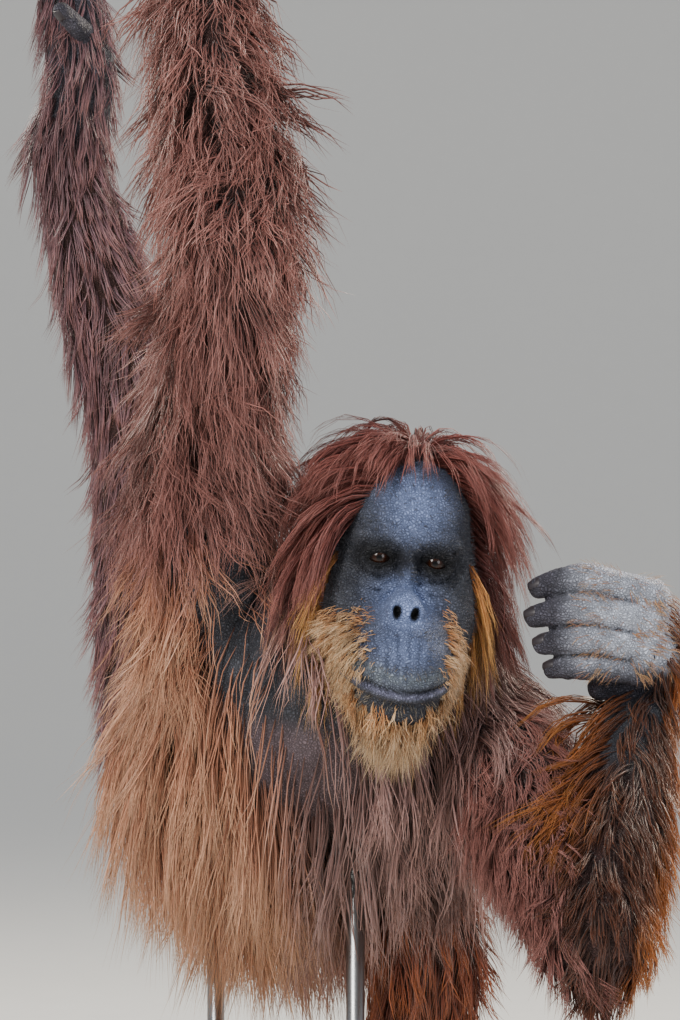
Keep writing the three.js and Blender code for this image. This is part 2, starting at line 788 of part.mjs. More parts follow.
const CROWN = at(4, -4, 118);
function hairTier(count, start, end, radius, y, z, size) {
  for (let i = 0; i < count; i += 1) {
    const turn = radians(THREE.MathUtils.lerp(start, end, (i + 0.5) / count));
    const [x, back] = [Math.sin(turn), -Math.cos(turn)];
    headLock([CROWN.x + x * radius, y + back * radius, z], [x, back, -0.3], size);
  }
}
// Angles run round the crown from the face: fringe, crown, sides and nape
hairTier(4, -62, 44, 46, -4, 110, { width: 40, length: 85, rise: 8, weight: 0.25 });
hairTier(8, 44, 298, 36, 6, 110, { width: 84, length: 150, rise: 24, weight: 0.6 });
hairTier(7, 76, 284, 66, 8, 60, { width: 72, length: 130, rise: 15, weight: 0.8 });
hairTier(4, 104, 256, 70, 4, 8, { width: 72, length: 100, rise: 8, weight: 0.8 });
for (const way of [-1, 1]) {
  for (const [y, z, length] of [[-34, 4, 110], [-12, -40, 90]]) {
    headLock([way * 66, y, z], [way * 0.3, 0, -1], { width: 36, length, rise: 9, weight: 0.6 });
  }
  for (const [x, y, z] of [[50, -66, -62], [48, -64, -100]]) {
    headLock([way * x, y, z], [way * 0.8, 0.2, -0.6], { width: 40, length: 56, rise: 6, weight: 0.3 });
  }
}
for (let i = 0; i < 6; i += 1) {
  const side = (i - 2.5) / 2.5;
  const size = { width: 36, length: 68, rise: 7, weight: 0.5 };
  headLock([side * 46, -76 + 34 * side * side, -140], [side * 0.4, -0.35, -1], size);
}

// Shapes of the nodes
const shapes = {};
for (const [name, form] of Object.entries(forms)) {
  shapes[name] = (grow) =>
    join([loft(form, grow), ...(locks[name] ?? []).map((one) => lockSolid(one, grow))]);
}
shapes.head = (grow) => {
  const whole = join([headFlesh(grow), ...locks.head.map((one) => lockSolid(one, grow))]);
  return grow > 0 ? whole : whole.subtract(headOpenings());
};
for (const [name, way] of [['right', -1], ['left', 1]]) {
  shapes[`eye_${name}`] = (grow) =>
    ball(eyePlace(way), [EYE_RADIUS, EYE_RADIUS, EYE_RADIUS], grow, headTurn, 10, 6);
  shapes[`ear_${name}`] = (grow) => {
    const turn = headTurn.clone().multiply(new THREE.Matrix4().makeRotationZ(way * radians(-25)));
    const fine = { turn, around: 8, up: 6 };
    const shell = headBall([way * EAR.x, EAR.y, EAR.z], EAR.radii, grow, fine);
    return shell.subtract(headBall([way * CUP.x, CUP.y, CUP.z], CUP.radii, -grow, fine));
  };
}

// Branch and stand

function rodBetween(from, to, radius, sides, grow = 0) {
  const along = to.clone().sub(from);
  const geometry = new THREE.CylinderGeometry(
    radius + grow, radius + grow, along.length() + 2 * grow, sides, 1);
  const turn = new THREE.Quaternion().setFromUnitVectors(at(0, 1, 0), along.clone().normalize());
  geometry.applyQuaternion(turn);
  const middle = from.clone().lerp(to, 0.5);
  geometry.translate(middle.x, middle.y, middle.z);
  return solidOf(geometry);
}

shapes.perch = (grow) => rodBetween(PERCH_FRONT, PERCH_BACK, PERCH_RADIUS, 20, grow);

for (const [name, top] of [['front', FRONT_ROD], ['rear', REAR_ROD]]) {
  shapes[`stand_rod_${name}`] = (grow) =>
    rodBetween(at(top.x, top.y, BASE_THICKNESS - ROD_SOCKET), top, ROD_RADIUS, 16, grow);
}

shapes.stand_base = (grow) => {
  const halfWidth = BASE_WIDTH / 2 - BASE_BEVEL;
  const halfDepth = BASE_DEPTH / 2 - BASE_BEVEL;
  const corner = BASE_CORNER - BASE_BEVEL;
  const outline = new THREE.Shape();
  outline.moveTo(-halfWidth + corner, -halfDepth);
  outline.absarc(halfWidth - corner, -halfDepth + corner, corner, -Math.PI / 2, 0);
  outline.absarc(halfWidth - corner, halfDepth - corner, corner, 0, Math.PI / 2);
  outline.absarc(-halfWidth + corner, halfDepth - corner, corner, Math.PI / 2, Math.PI);
  outline.absarc(-halfWidth + corner, -halfDepth + corner, corner, Math.PI, 1.5 * Math.PI);
  const geometry = new THREE.ExtrudeGeometry(outline, {
    depth: BASE_THICKNESS - 2 * BASE_BEVEL + grow,
    bevelThickness: BASE_BEVEL,
    bevelSize: BASE_BEVEL,
    bevelSegments: 1,
    curveSegments: 4,
  });
  geometry.translate(0, 0, BASE_BEVEL);
  return solidOf(geometry);
};

// Every node, in the order in which it takes its place: each is cut clear of those before it
const digits = (side, names) => names.map((name) => `${side}_${name}`);
const order = [
  'perch', 'stand_rod_front', 'stand_rod_rear', 'stand_base',
  'eye_right', 'eye_left', 'ear_right', 'ear_left',
  ...digits('right', [...DIGIT_NAMES, 'thumb']), 'right_hand',
  ...digits('left', [...DIGIT_NAMES, 'thumb']), 'left_hand',
  ...digits('right', [...TOE_NAMES, 'big_toe']), 'right_foot',
  ...digits('left', [...TOE_NAMES, 'big_toe']), 'left_foot',
  'head', 'right_forearm', 'right_upper_arm', 'left_forearm', 'left_upper_arm',
  'right_shin', 'right_thigh', 'left_shin', 'left_thigh',
  'neck', 'chest', 'pelvis', 'abdomen',
];

const materialOf = (name) => {
  if (name === 'perch') return BARK;
  if (name === 'stand_base') return BASE_WOOD;
  if (name.startsWith('stand_rod')) return STEEL;
  if (name.startsWith('eye')) return EYE;
  if (name.startsWith('ear')) return BARE_SKIN;
  if (/hand|foot|index|middle|ring|little|thumb|toe/.test(name)) return HAND_SKIN;
  return COAT;
};

const boxesMeet = (a, b) =>
  [0, 1, 2].every((k) => a.min[k] < b.max[k] && b.min[k] < a.max[k]);

const model = new THREE.Group();
const placed = [];
for (const name of order) {
  const whole = shapes[name](0);
  const box = whole.boundingBox();
  const near = placed.filter((other) => boxesMeet(box, other.box)).map((other) => other.grown);
  const cut = near.length > 0 ? whole.subtract(join(near)) : whole;
  const grown = shapes[name](GAP).add(whole);
  placed.push({ grown, box: grown.boundingBox() });
  const closed = solidOf(geometryOf(largestOf(cut)), 1e-3);
  const mesh = new THREE.Mesh(geometryOf(largestOf(closed)), materialOf(name));
  mesh.name = name;
  model.add(mesh);
}

export default model;
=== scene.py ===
"""Dresses the orangutan's solids: skin, eyes, nails, coat, branch and stand, with a small studio.

Shapes are worked out in millimetres, in the frame of the solids, and written in metres.
"""

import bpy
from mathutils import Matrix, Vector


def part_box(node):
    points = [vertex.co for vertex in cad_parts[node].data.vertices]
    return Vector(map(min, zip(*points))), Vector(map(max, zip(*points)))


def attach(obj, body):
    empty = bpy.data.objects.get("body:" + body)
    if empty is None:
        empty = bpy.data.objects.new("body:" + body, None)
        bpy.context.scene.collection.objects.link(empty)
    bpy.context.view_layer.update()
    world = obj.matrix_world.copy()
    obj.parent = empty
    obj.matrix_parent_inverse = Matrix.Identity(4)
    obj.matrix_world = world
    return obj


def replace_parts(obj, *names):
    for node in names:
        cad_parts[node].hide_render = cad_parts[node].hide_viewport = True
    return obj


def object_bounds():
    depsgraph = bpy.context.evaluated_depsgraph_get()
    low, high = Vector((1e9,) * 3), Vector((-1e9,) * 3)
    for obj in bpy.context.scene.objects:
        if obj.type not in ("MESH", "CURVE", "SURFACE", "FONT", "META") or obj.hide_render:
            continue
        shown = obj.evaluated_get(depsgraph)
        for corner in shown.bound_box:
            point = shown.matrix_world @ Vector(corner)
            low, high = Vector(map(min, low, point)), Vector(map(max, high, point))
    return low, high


bl_info = {
    "name": "Orangutan model",
    "version": (1, 0, 0),
    "blender": (4, 5, 0),
    "location": "3D View > Sidebar > Orangutan",
    "description": "Builds a life-size orangutan with a long coat on a display stand",
    "category": "Object",
}

from functools import lru_cache

import bmesh
import bpy
import numpy as np
from mathutils import Vector
from mathutils.kdtree import KDTree

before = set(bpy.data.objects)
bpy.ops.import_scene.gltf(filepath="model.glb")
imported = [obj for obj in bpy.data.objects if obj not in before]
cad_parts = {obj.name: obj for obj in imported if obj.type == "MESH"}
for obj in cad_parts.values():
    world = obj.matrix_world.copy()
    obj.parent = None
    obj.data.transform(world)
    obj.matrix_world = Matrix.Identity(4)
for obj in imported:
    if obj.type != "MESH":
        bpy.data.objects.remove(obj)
CAD_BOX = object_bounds()

MM = 0.001

# Landmarks, in millimetres from the middle of the base's underside

RIGHT_SHOULDER = (-101, -140, 680)
RIGHT_ELBOW = (-72, -280, 990)
RIGHT_WRIST = (-115, -160, 1312)
LEFT_SHOULDER = (175, -150, 515)
LEFT_ELBOW = (249, -440, 371)
LEFT_WRIST = (307, -180, 577)
RIGHT_HIP = (-150, 165, 540)
RIGHT_KNEE = (-187, 142, 848)
RIGHT_ANKLE = (-268, 126, 1137)
LEFT_HIP = (-40, 160, 465)
LEFT_KNEE = (110, -40, 330)
LEFT_ANKLE = (82, 30, 78)
HEAD_CENTRE = (75, -190, 704)
HEAD_TURN = np.radians(6.5)
HEAD_TILT = np.radians(6.5)
EYE_SPACING = 53.0
EYE_RADIUS = 13.0
PERCH_RADIUS = 25.0
PERCH_FRONT = (-28, -244, 1435)
PERCH_BACK = (-396, 214, 1295)
HAND_GRIP = (-120, -130, 1400)
FOOT_GRIP = (-305, 100, 1330)
BASE_TOP = 24.0
FLANK = (0.86, 0.0, -0.51)

# Small vector helpers on whole arrays


def vec(p):
    """A place or direction as an array of floats."""
    return np.asarray(p, float)


def unit(a):
    """Rows divided by their own length."""
    return a / np.maximum(np.linalg.norm(a, axis=-1, keepdims=True), 1e-9)


def dot(a, b):
    """Sum of the products of two arrays' rows."""
    return (a * b).sum(-1)


def smoothstep(low, high, x):
    """From 0 at low to 1 at high along t * t * (3 - 2 * t); high may be the smaller of the two."""
    t = np.clip((x - low) / (high - low), 0, 1)
    return t * t * (3 - 2 * t)


def mix(a, b, t):
    """A straight blend: a where t is 0 and b where t is 1."""
    return a + (b - a) * t


def turned(axis, angle):
    """Rotation matrix about one main axis, by an angle."""
    c, s = np.cos(angle), np.sin(angle)
    i, j = {"x": (1, 2), "y": (2, 0), "z": (0, 1)}[axis]
    m = np.eye(3)
    m[i, i] = m[j, j] = c
    m[j, i] = s
    m[i, j] = -s
    return m


HEAD_MATRIX = turned("z", HEAD_TURN) @ turned("y", HEAD_TILT)


def on_head(p):
    """Points given about the head's own centre, in the model's frame."""
    return vec(p) @ HEAD_MATRIX.T + vec(HEAD_CENTRE)


def from_head(p):
    """Points of the model's frame, about the head's own centre."""
    return (vec(p) - vec(HEAD_CENTRE)) @ HEAD_MATRIX


def smooth_path(points, count):
    """Catmull-Rom curve through the rows of an array: each span is a cubic whose slopes at its
    ends are half the step between the neighbours on either side."""
    points = vec(points)
    padded = np.vstack([2 * points[0] - points[1], points, 2 * points[-1] - points[-2]])
    u = np.linspace(0, len(points) - 1, count)
    k = np.minimum(u.astype(int), len(points) - 2)
    t = (u - k)[:, None]
    a, b, c, d = padded[k], padded[k + 1], padded[k + 2], padded[k + 3]
    return 0.5 * (2 * b + (c - a) * t + (2 * a - 5 * b + 4 * c - d) * t**2
                  + (3 * b - a - 3 * c + d) * t**3)


def value_noise(points, scale, seed):
    """Smooth noise between -1 and 1: random values on a grid of cubes, blended between corners."""
    rng = np.random.default_rng(seed)
    table = rng.uniform(-1, 1, 4096)
    q = points / scale
    cell = np.floor(q).astype(int)
    f = q - cell
    f = f * f * (3 - 2 * f)
    total = 0.0
    for corner in range(8):
        step = np.array([corner & 1, corner >> 1 & 1, corner >> 2 & 1])
        c = cell + step
        key = (c[:, 0] * 73856093 ^ c[:, 1] * 19349663 ^ c[:, 2] * 83492791) & 4095
        weight = np.prod(np.where(step == 1, f, 1 - f), axis=1)
        total = total + weight * table[key]
    return total


# Forms: each gives the distance of points from its surface, and the way out


class Tube:
    """Elliptical sections along a smooth path: the distance of a point is measured from the
    nearest place on the path, stretched by the section's half width and half thickness."""

    def __init__(self, stations, side, blend=12.0, spans=8, carve=False):
        rows = smooth_path(stations, spans + 1)
        self.centre, self.size = rows[:, :3], np.maximum(rows[:, 3:5], 0.5)
        along = unit(np.gradient(self.centre, axis=0))
        across = unit(vec(side) - dot(along, vec(side))[:, None] * along)
        self.along, self.across, self.over = along, across, np.cross(along, across)
        self.blend, self.carve = blend, carve
        self.reach = self.size.max()

    def box(self, margin):
        """Two corners that hold the whole form and a margin round it."""
        pad = self.reach + margin
        return self.centre.min(0) - pad, self.centre.max(0) + pad

    def place(self, points):
        """Where points lie on the form: the share of its length, the turn round it as a share
        of a whole one, and the way along it."""
        spans = len(self.centre) - 1
        best = np.full(len(points), 1e18)
        share, turn = np.zeros(len(points)), np.zeros(len(points))
        way = np.zeros_like(points)
        for i in range(spans):
            span = self.centre[i + 1] - self.centre[i]
            t = np.clip((points - self.centre[i]) @ span / (span @ span), 0, 1)
            q = points - self.centre[i] - t[:, None] * span
            far = (q**2).sum(1)
            near = far < best
            best = np.where(near, far, best)
            share = np.where(near, (i + t) / spans, share)
            angle = np.arctan2(q @ self.over[i], q @ self.across[i]) / (2 * np.pi) % 1
            turn = np.where(near, angle, turn)
            way[near] = unit(span)
        return share, turn, way

    def measure(self, points):
        """Signed distances and ways out, from the nearest of the path's straight spans. In a
        span's own axes e is the length of (x / width, y / thickness, z / smaller of both), and
        the distance is (e - 1) * e over the length of e * e's half gradient."""
        best = np.full(len(points), 1e9)
        normal = np.zeros_like(points)
        for i in range(len(self.centre) - 1):
            a, b = self.centre[i], self.centre[i + 1]
            span = b - a
            t = np.clip((points - a) @ span / (span @ span), 0, 1)
            q = points - a - t[:, None] * span
            across = unit(mix(self.across[i], self.across[i + 1], 0.5))
            along = unit(span)
            over = unit(np.cross(along, across))
            across = np.cross(over, along)
            w = mix(self.size[i, 0], self.size[i + 1, 0], t)
            d = mix(self.size[i, 1], self.size[i + 1, 1], t)
            m = np.minimum(w, d)
            x, y, z = q @ across, q @ over, q @ along
            gx, gy, gz = x / w**2, y / d**2, z / m**2
            e = np.sqrt((x / w) ** 2 + (y / d) ** 2 + (z / m) ** 2) + 1e-9
            slope = np.sqrt(gx**2 + gy**2 + gz**2) + 1e-9
            far = (e - 1) * e / slope
            near = far < best
            best = np.where(near, far, best)
            way = (gx[:, None] * across + gy[:, None] * over + gz[:, None] * along) / slope[:, None]
            normal = np.where(near[:, None], way, normal)
        return best, normal


class Egg:
    """An ellipsoid with its own turn."""

    def __init__(self, centre, radii, turn=None, blend=12.0, carve=False):
        self.centre, self.radii = vec(centre), vec(radii)
        self.turn = np.eye(3) if turn is None else turn
        self.blend, self.carve = blend, carve

    def box(self, margin):
        """Two corners that hold the whole form and a margin round it."""
        pad = self.radii.max() + margin
        return self.centre - pad, self.centre + pad

    def measure(self, points):
        """Signed distances and ways out, by the formula of a tube's span with three radii."""
        q = (points - self.centre) @ self.turn
        g = q / self.radii**2
        e = np.sqrt(((q / self.radii) ** 2).sum(1)) + 1e-9
        slope = np.linalg.norm(g, axis=1) + 1e-9
        return (e - 1) * e / slope, (g / slope[:, None]) @ self.turn.T


def measure(forms, points, margin=60.0):
    """Signed distance from the smooth union of forms, and the way out. Where two forms meet, the
    distances are blended by the polynomial smooth minimum over the form's own blend length."""
    total = np.full(len(points), 1e3)
    normal = np.tile([0.0, 0.0, 1.0], (len(points), 1))
    for form in forms:
        low, high = form.box(margin)
        inside = ((points > low) & (points < high)).all(1)
        if not inside.any():
            continue
        d, n = form.measure(points[inside])
        old, old_n = total[inside], normal[inside]
        if form.carve:
            h = np.clip(0.5 - 0.5 * (old + d) / form.blend, 0, 1)
            new = mix(old, -d, h) + form.blend * h * (1 - h)
            new_n = mix(old_n, -n, h[:, None])
        else:
            h = np.clip(0.5 + 0.5 * (old - d) / form.blend, 0, 1)
            new = mix(old, d, h) - form.blend * h * (1 - h)
            new_n = mix(old_n, n, h[:, None])
        total[inside], normal[inside] = new, new_n
    return total, unit(normal)


def settle(points, forms, steps=4):
    """Moves points along the way out until they lie on the forms' common surface."""
    points = points.copy()
    for _ in range(steps):
        d, n = measure(forms, points)
        points -= n * np.clip(d, -8, 8)[:, None]
    return points


# The body's forms


def bone(start, end, rows, bow=(0, 0, 0)):
    """Stations along a straight bone: share of its length, half width, half thickness."""
    start, end = vec(start), vec(end)
    return [[*(mix(start, end, s) + vec(bow) * 4 * s * (1 - s)), w, d] for s, w, d in rows]


PERCH_AXIS = unit(vec(PERCH_BACK) - vec(PERCH_FRONT))
ACROSS = (1, 0, 0)

LIMBS = {
    "right_upper_arm": Tube(bone(RIGHT_SHOULDER, RIGHT_ELBOW, [
        (-0.1, 56, 52), (0.15, 58, 54), (0.5, 50, 47), (0.85, 45, 43), (1.0, 42, 40)],
        (-14, 0, 0)), ACROSS, 26),
    "right_forearm": Tube(bone(RIGHT_ELBOW, RIGHT_WRIST, [
        (0.02, 44, 44), (0.25, 48, 46), (0.6, 40, 37), (0.9, 31, 25), (1.0, 30, 22)]),
        PERCH_AXIS, 16),
    "left_upper_arm": Tube(bone(LEFT_SHOULDER, LEFT_ELBOW, [
        (-0.15, 54, 52), (0.1, 58, 58), (0.5, 52, 50), (0.85, 46, 44), (0.98, 42, 40)]),
        ACROSS, 26),
    "left_forearm": Tube(bone(LEFT_ELBOW, LEFT_WRIST, [
        (0.02, 42, 42), (0.25, 46, 44), (0.6, 40, 36), (0.9, 30, 25), (1.0, 29, 22)]),
        ACROSS, 16),
    "right_thigh": Tube(bone(RIGHT_HIP, RIGHT_KNEE, [
        (-0.05, 74, 74), (0.25, 72, 72), (0.6, 60, 60), (0.95, 50, 50)]), ACROSS, 26),
    "right_shin": Tube(bone(RIGHT_KNEE, RIGHT_ANKLE, [
        (0.02, 48, 50), (0.3, 49, 48), (0.6, 43, 42), (0.9, 35, 34), (1.0, 34, 32)]), ACROSS, 16),
    "left_thigh": Tube(bone(LEFT_HIP, LEFT_KNEE, [
        (-0.05, 74, 74), (0.25, 72, 70), (0.6, 60, 58), (0.95, 48, 48)]), ACROSS, 26),
    "left_shin": Tube(bone(LEFT_KNEE, LEFT_ANKLE, [
        (0.02, 46, 48), (0.3, 46, 46), (0.6, 38, 40), (0.9, 30, 32), (0.97, 30, 32)]),
        ACROSS, 16),
    "trunk": Tube([
        [46, -160, 602, 96, 74], [36, -135, 584, 150, 108], [20, -90, 558, 163, 130],
        [-5, -28, 535, 155, 132], [-30, 30, 510, 146, 142], [-62, 90, 500, 138, 126],
        [-88, 140, 497, 126, 114], [-108, 185, 495, 104, 92]], FLANK, 26, spans=14),
    "neck": Tube([[48, -118, 606, 78, 66], [60, -150, 640, 70, 64], [72, -172, 676, 66, 64]],
                 ACROSS, 20),
}


def grip(place, joint):
    """Places round the branch: an offset along it, an angle from its underside and a radius."""
    down = vec(joint) - vec(place)
    down = unit(down - dot(down, PERCH_AXIS) * PERCH_AXIS)
    out = unit(np.cross(down, PERCH_AXIS))
    return lambda offset, angle, radius: (
        vec(place) + PERCH_AXIS * offset + down * np.cos(np.radians(angle)) * radius
        + out * np.sin(np.radians(angle)) * radius)


def grip_digits(place, pitch, radii, ends, start=96.0):
    """Digits that curl round the branch, side by side along it."""
    digits = []
    for i, (radius, end) in enumerate(zip(radii, ends)):
        rows = []
        for k in range(6):
            angle = mix(start, end, k / 5)
            size = radius * mix(1.05, 0.8, k / 5)
            away = PERCH_RADIUS + radius + 0.5 + 2 * np.sin(k / 5 * np.pi)
            rows.append([*place((i - 1.5) * pitch, angle, away), size, size])
        digits.append(Tube(rows, PERCH_AXIS, 4, spans=10))
    return digits


hand_place = grip(HAND_GRIP, RIGHT_WRIST)
foot_place = grip(FOOT_GRIP, RIGHT_ANKLE)

DIGITS = {
    "right_hand": grip_digits(hand_place, 23, (11.5, 12, 11.5, 10.5), (262, 275, 272, 255)) + [
        Tube([[*hand_place(-30, 22, 62), 13, 12], [*hand_place(-46, 4, 50), 11, 11],
              [*hand_place(-58, -22, 42), 9, 9]], PERCH_AXIS, 6, spans=6)],
    "right_foot": grip_digits(foot_place, 21, (11, 11.5, 11, 10), (250, 262, 258, 245)) + [
        Tube([[*foot_place(-26, 14, 112), 13, 13], [*foot_place(-42, 0, 92), 11, 11],
              [*foot_place(-50, -14, 78), 9, 9]], PERCH_AXIS, 6, spans=6)],
}

# Each finger of the left hand: knuckle, rise of its middle, tip and radius
LEFT_FINGERS = (
    ((301, -240, 681), 11, (207, -246, 684), 13.9),
    ((297, -247, 655), 8, (203, -250, 657), 14.2),
    ((292, -246, 630), 6, (211, -250, 631), 13.9),
    ((288, -240, 606), 4, (220, -246, 608), 12.8),
)


def left_finger(knuckle, lift, tip, radius):
    """A finger that bows forwards and upwards between its knuckle and its tip, and thins."""
    knuckle, tip = vec(knuckle), vec(tip)
    middle = mix(knuckle, tip, 0.5) + (0, -14, lift)
    near = mix(knuckle, middle, 0.6)
    far = mix(middle, tip, 0.5) + (0, -2, lift * 0.2)
    return Tube([
        [*(knuckle + (12, 6, -2)), radius, radius], [*near, radius * 0.98, radius * 0.98],
        [*middle, radius * 1.04, radius], [*far, radius * 0.96, radius * 0.92],
        [*tip, radius * 0.74, radius * 0.72]], (0, 0, 1), 2.2, spans=12)


DIGITS["left_hand"] = [left_finger(*f) for f in LEFT_FINGERS] + [
    Tube([[300, -192, 620, 14, 13], [270, -196, 636, 12, 12], [246, -204, 642, 9, 9]],
         (0, 0, 1), 6, spans=6),
    Tube([[302, -194, 602, 17, 16], [280, -204, 594, 17, 15], [266, -208, 588, 12, 11]],
         (0, 0, 1), 10, spans=4)]


def left_toe(i):
    """One of four toes that lie on the base, fanned out by 9 degrees each."""
    spread = np.radians(-4 + 9 * i)
    root = vec((96 + 18 * i, -62 + 5 * i, BASE_TOP + 19.3))
    reach = (86, 92, 86, 74)[i]
    rows = []
    for share, height, w, d in ((-0.15, 0, 11.5, 11.5), (0.45, 6, 11.5, 11), (1, -8, 9.5, 9)):
        way = vec((np.sin(spread), -np.cos(spread), 0)) * reach * share
        rows.append([*(root + way + (0, 0, height)), w, d])
    return Tube(rows, ACROSS, 4, spans=8)


DIGITS["left_foot"] = [left_toe(i) for i in range(4)] + [
    Tube([[74, -6, BASE_TOP + 20, 14, 13], [50, -28, BASE_TOP + 17, 12, 11],
          [32, -44, BASE_TOP + 12, 10, 10]], ACROSS, 6, spans=6)]

PALMS = {
    "right_hand": Tube([
        [*RIGHT_WRIST, 30, 22], [*hand_place(-2, 28, 66), 40, 20],
        [*hand_place(0, 58, 48), 46, 17], [*hand_place(0, 92, 41), 47, 14]], PERCH_AXIS, 12),
    "right_foot": Tube([
        [*(vec(RIGHT_ANKLE) + (4, 14, -8)), 34, 38], [*foot_place(0, 7, 140), 38, 34],
        [*foot_place(0, 24, 84), 40, 27], [*foot_place(0, 58, 50), 42, 18],
        [*foot_place(0, 90, 41), 43, 14]], PERCH_AXIS, 14, spans=10),
    "left_hand": Tube([
        [*LEFT_WRIST, 24, 28], [318, -196, 615, 38, 26], [316, -222, 642, 48, 24],
        [300, -236, 647, 47, 18]], (0, 0, 1), 14),
    "left_foot": Tube([
        [76, 64, BASE_TOP + 24, 30, 28], [82, 20, BASE_TOP + 30, 34, 34],
        [104, -30, BASE_TOP + 22, 40, 26], [118, -62, BASE_TOP + 18, 42, 19]], ACROSS, 14),
}

# The head's forms, about its own centre


def head_egg(x, y, z, radii, blend=12.0, turn=None, carve=False):
    """An egg placed and turned with the head."""
    m = HEAD_MATRIX if turn is None else HEAD_MATRIX @ turn
    return Egg(on_head((x, y, z)), radii, m, blend, carve)


def head_ridge(points, radius, blend, carve=False, spans=10):
    """A round ridge along points of the head, thinner at both ends."""
    rows = [[*on_head(p), radius, radius] for p in points]
    rows[0][3:] = rows[-1][3:] = [radius * 0.6] * 2
    return Tube(rows, (0, 0, 1), blend, spans, carve)


MOUTH = ((-52, -86, -98), (-30, -115, -109), (2, -131, -115), (31, -116, -110), (50, -90, -99))


def moved(points, out, up):
    """The mouth's line pushed forwards and up, and as much wider as it goes forwards."""
    return [(x * (1 + out * 0.004), y - out, z + up) for x, y, z in points]


def eye_centre(way):
    """Middle of an eye: way is -1 for the animal's right and 1 for its left."""
    return vec((way * EYE_SPACING / 2, -60, 6))


def nostril(way):
    """Place of a nostril across and up the face."""
    return -2 + way * 8.5, -43


def mouth_height(x):
    """Height of the line of the mouth: a parabola, lowest in the middle."""
    return -98 - 17 * np.clip(1 - (x / 52) ** 2, 0, 1)


def lid_arc(way, rise, radius, tilt=0.0):
    """Points along a lid: an arc on a ball round the eye, highest in its middle."""
    a = np.radians(np.linspace(-66, 66, 7))
    b = np.radians(rise) * np.cos(a * 1.2) + np.radians(tilt) * np.sin(a) * way
    ball = np.stack([np.sin(a) * np.cos(b), -np.cos(a) * np.cos(b), np.sin(b)], 1)
    return eye_centre(way) + ball * radius


def head_forms():
    """Skull, cheeks, brow, muzzle, nose and lips first, then the lids and folds round each eye,
    the nostrils, the cut of the mouth and the furrows."""
    forms = [
        head_egg(0, 10, 42, (66, 80, 74)),
        head_egg(0, -22, -5, (70, 50, 62), 20),
        head_egg(0, -28, -90, (58, 58, 52), 20),
        head_egg(-46, -40, -48, (27, 36, 42), 18),
        head_egg(46, -40, -48, (27, 36, 42), 18),
        head_egg(0, -48, 48, (50, 24, 34), 16),
        head_egg(-27, -64, 25, (24, 14, 9), 12),
        head_egg(27, -64, 25, (24, 14, 9), 12),
        head_egg(0, -66, 20, (15, 11, 13), 10),
        head_egg(1, -72, -82, (51, 54, 52), 16),
        head_egg(1, -90, -90, (43, 43, 34), 14),
        head_egg(2, -78, -122, (41, 42, 22), 12),
        head_egg(-1, -76, -12, (8, 14, 26), 10),
        head_egg(-2, -97, -36, (15, 20, 15), 9),
        head_egg(-13, -108, -42, (7, 9, 9), 6),
        head_egg(9, -108, -42, (7, 9, 9), 6),
        head_ridge(moved(MOUTH, 0.5, 5), 4.6, 8),
        head_ridge(moved(MOUTH, -0.5, -6), 4.8, 7),
        head_egg(2, -100, -136, (26, 18, 12), 10),
    ]
    for way in (-1, 1):
        ex, ey, ez = eye_centre(way)
        forms += [
            head_egg(ex, ey - 16, ez, (19, 15, 12), 9, carve=True),
            head_egg(ex, ey, ez, (15.2, 15.2, 15.2), 4),
            head_egg(ex, ey - 16, ez, (16.5, 11.6, 8.2), 1.6, turned("y", way * 0.1), True),
            head_ridge(lid_arc(way, 31, 15.2, -4), 2.3, 3, spans=12),
            head_ridge(lid_arc(way, -29, 14.8, -4), 2.0, 3, spans=12),
            head_ridge(lid_arc(way, 52, 19.5, -6), 2.6, 5, spans=12),
            head_ridge(lid_arc(way, -50, 19.0, -6), 2.2, 4, spans=12),
            head_ridge([(way * 12, -74, -9), (way * 24, -74, -19), (way * 42, -62, -20)],
                       3.0, 7, spans=8),
            head_ridge([(way * 12, -79, -20), (way * 26, -76, -31), (way * 44, -66, -32)],
                       2.4, 7, spans=8),
            head_egg(nostril(way)[0], -121, nostril(way)[1], (4.4, 13, 8.4), 2.4,
                     turned("y", way * 0.45), True),
        ]
    forms += [
        head_ridge(moved(MOUTH, 5, -0.5), 1.9, 3, True, spans=16),
        head_ridge([(2, -81, 20), (2.5, -80, 34), (3, -78, 50)], 1.3, 4, True),
        head_ridge([(-2, -124, -54), (-1, -132, -66), (0, -138, -84)], 1.2, 5, True),
    ]
    return forms


HEAD_FORMS = head_forms()


EAR_RADII = (8, 15, 21)


def ear_turn(way):
    """An ear leans 25 degrees outwards."""
    return turned("z", way * np.radians(-25))


def ear_forms(way):
    """An ear: an egg with a cup carved out of it, and a root that ties it to the head."""
    lean = ear_turn(way)
    return [head_egg(way * 74, 14, -2, EAR_RADII, 3, lean),
            head_egg(way * 84, 8, -3, (9, 9.5, 14.5), 3, lean, True),
            head_egg(way * 72, 20, 0, (8, 12, 16), 4, lean)]


BODY_FORMS = list(LIMBS.values()) + list(PALMS.values())
ALL_FORMS = BODY_FORMS + HEAD_FORMS[:12]

# Meshes


def new_object(name, points, faces):
    """A smooth mesh object from points in millimetres and one or more arrays of faces."""
    mesh = bpy.data.meshes.new(name)
    groups = faces if isinstance(faces, (list, tuple)) else [faces]
    corners = np.concatenate([np.asarray(g, np.int32).ravel() for g in groups])
    totals = np.concatenate([np.full(len(g), g.shape[1], np.int32) for g in groups])
    starts = np.concatenate([[0], np.cumsum(totals)[:-1]]).astype(np.int32)
    mesh.vertices.add(len(points))
    mesh.vertices.foreach_set("co", (points * MM).astype(np.float32).ravel())
    mesh.loops.add(len(corners))
    mesh.loops.foreach_set("vertex_index", corners)
    mesh.polygons.add(len(totals))
    mesh.polygons.foreach_set("loop_start", starts)
    mesh.update(calc_edges=True)
    mesh.validate()
    mesh.polygons.foreach_set("use_smooth", np.ones(len(mesh.polygons), bool))
    obj = bpy.data.objects.new(name, mesh)
    bpy.context.scene.collection.objects.link(obj)
    return obj


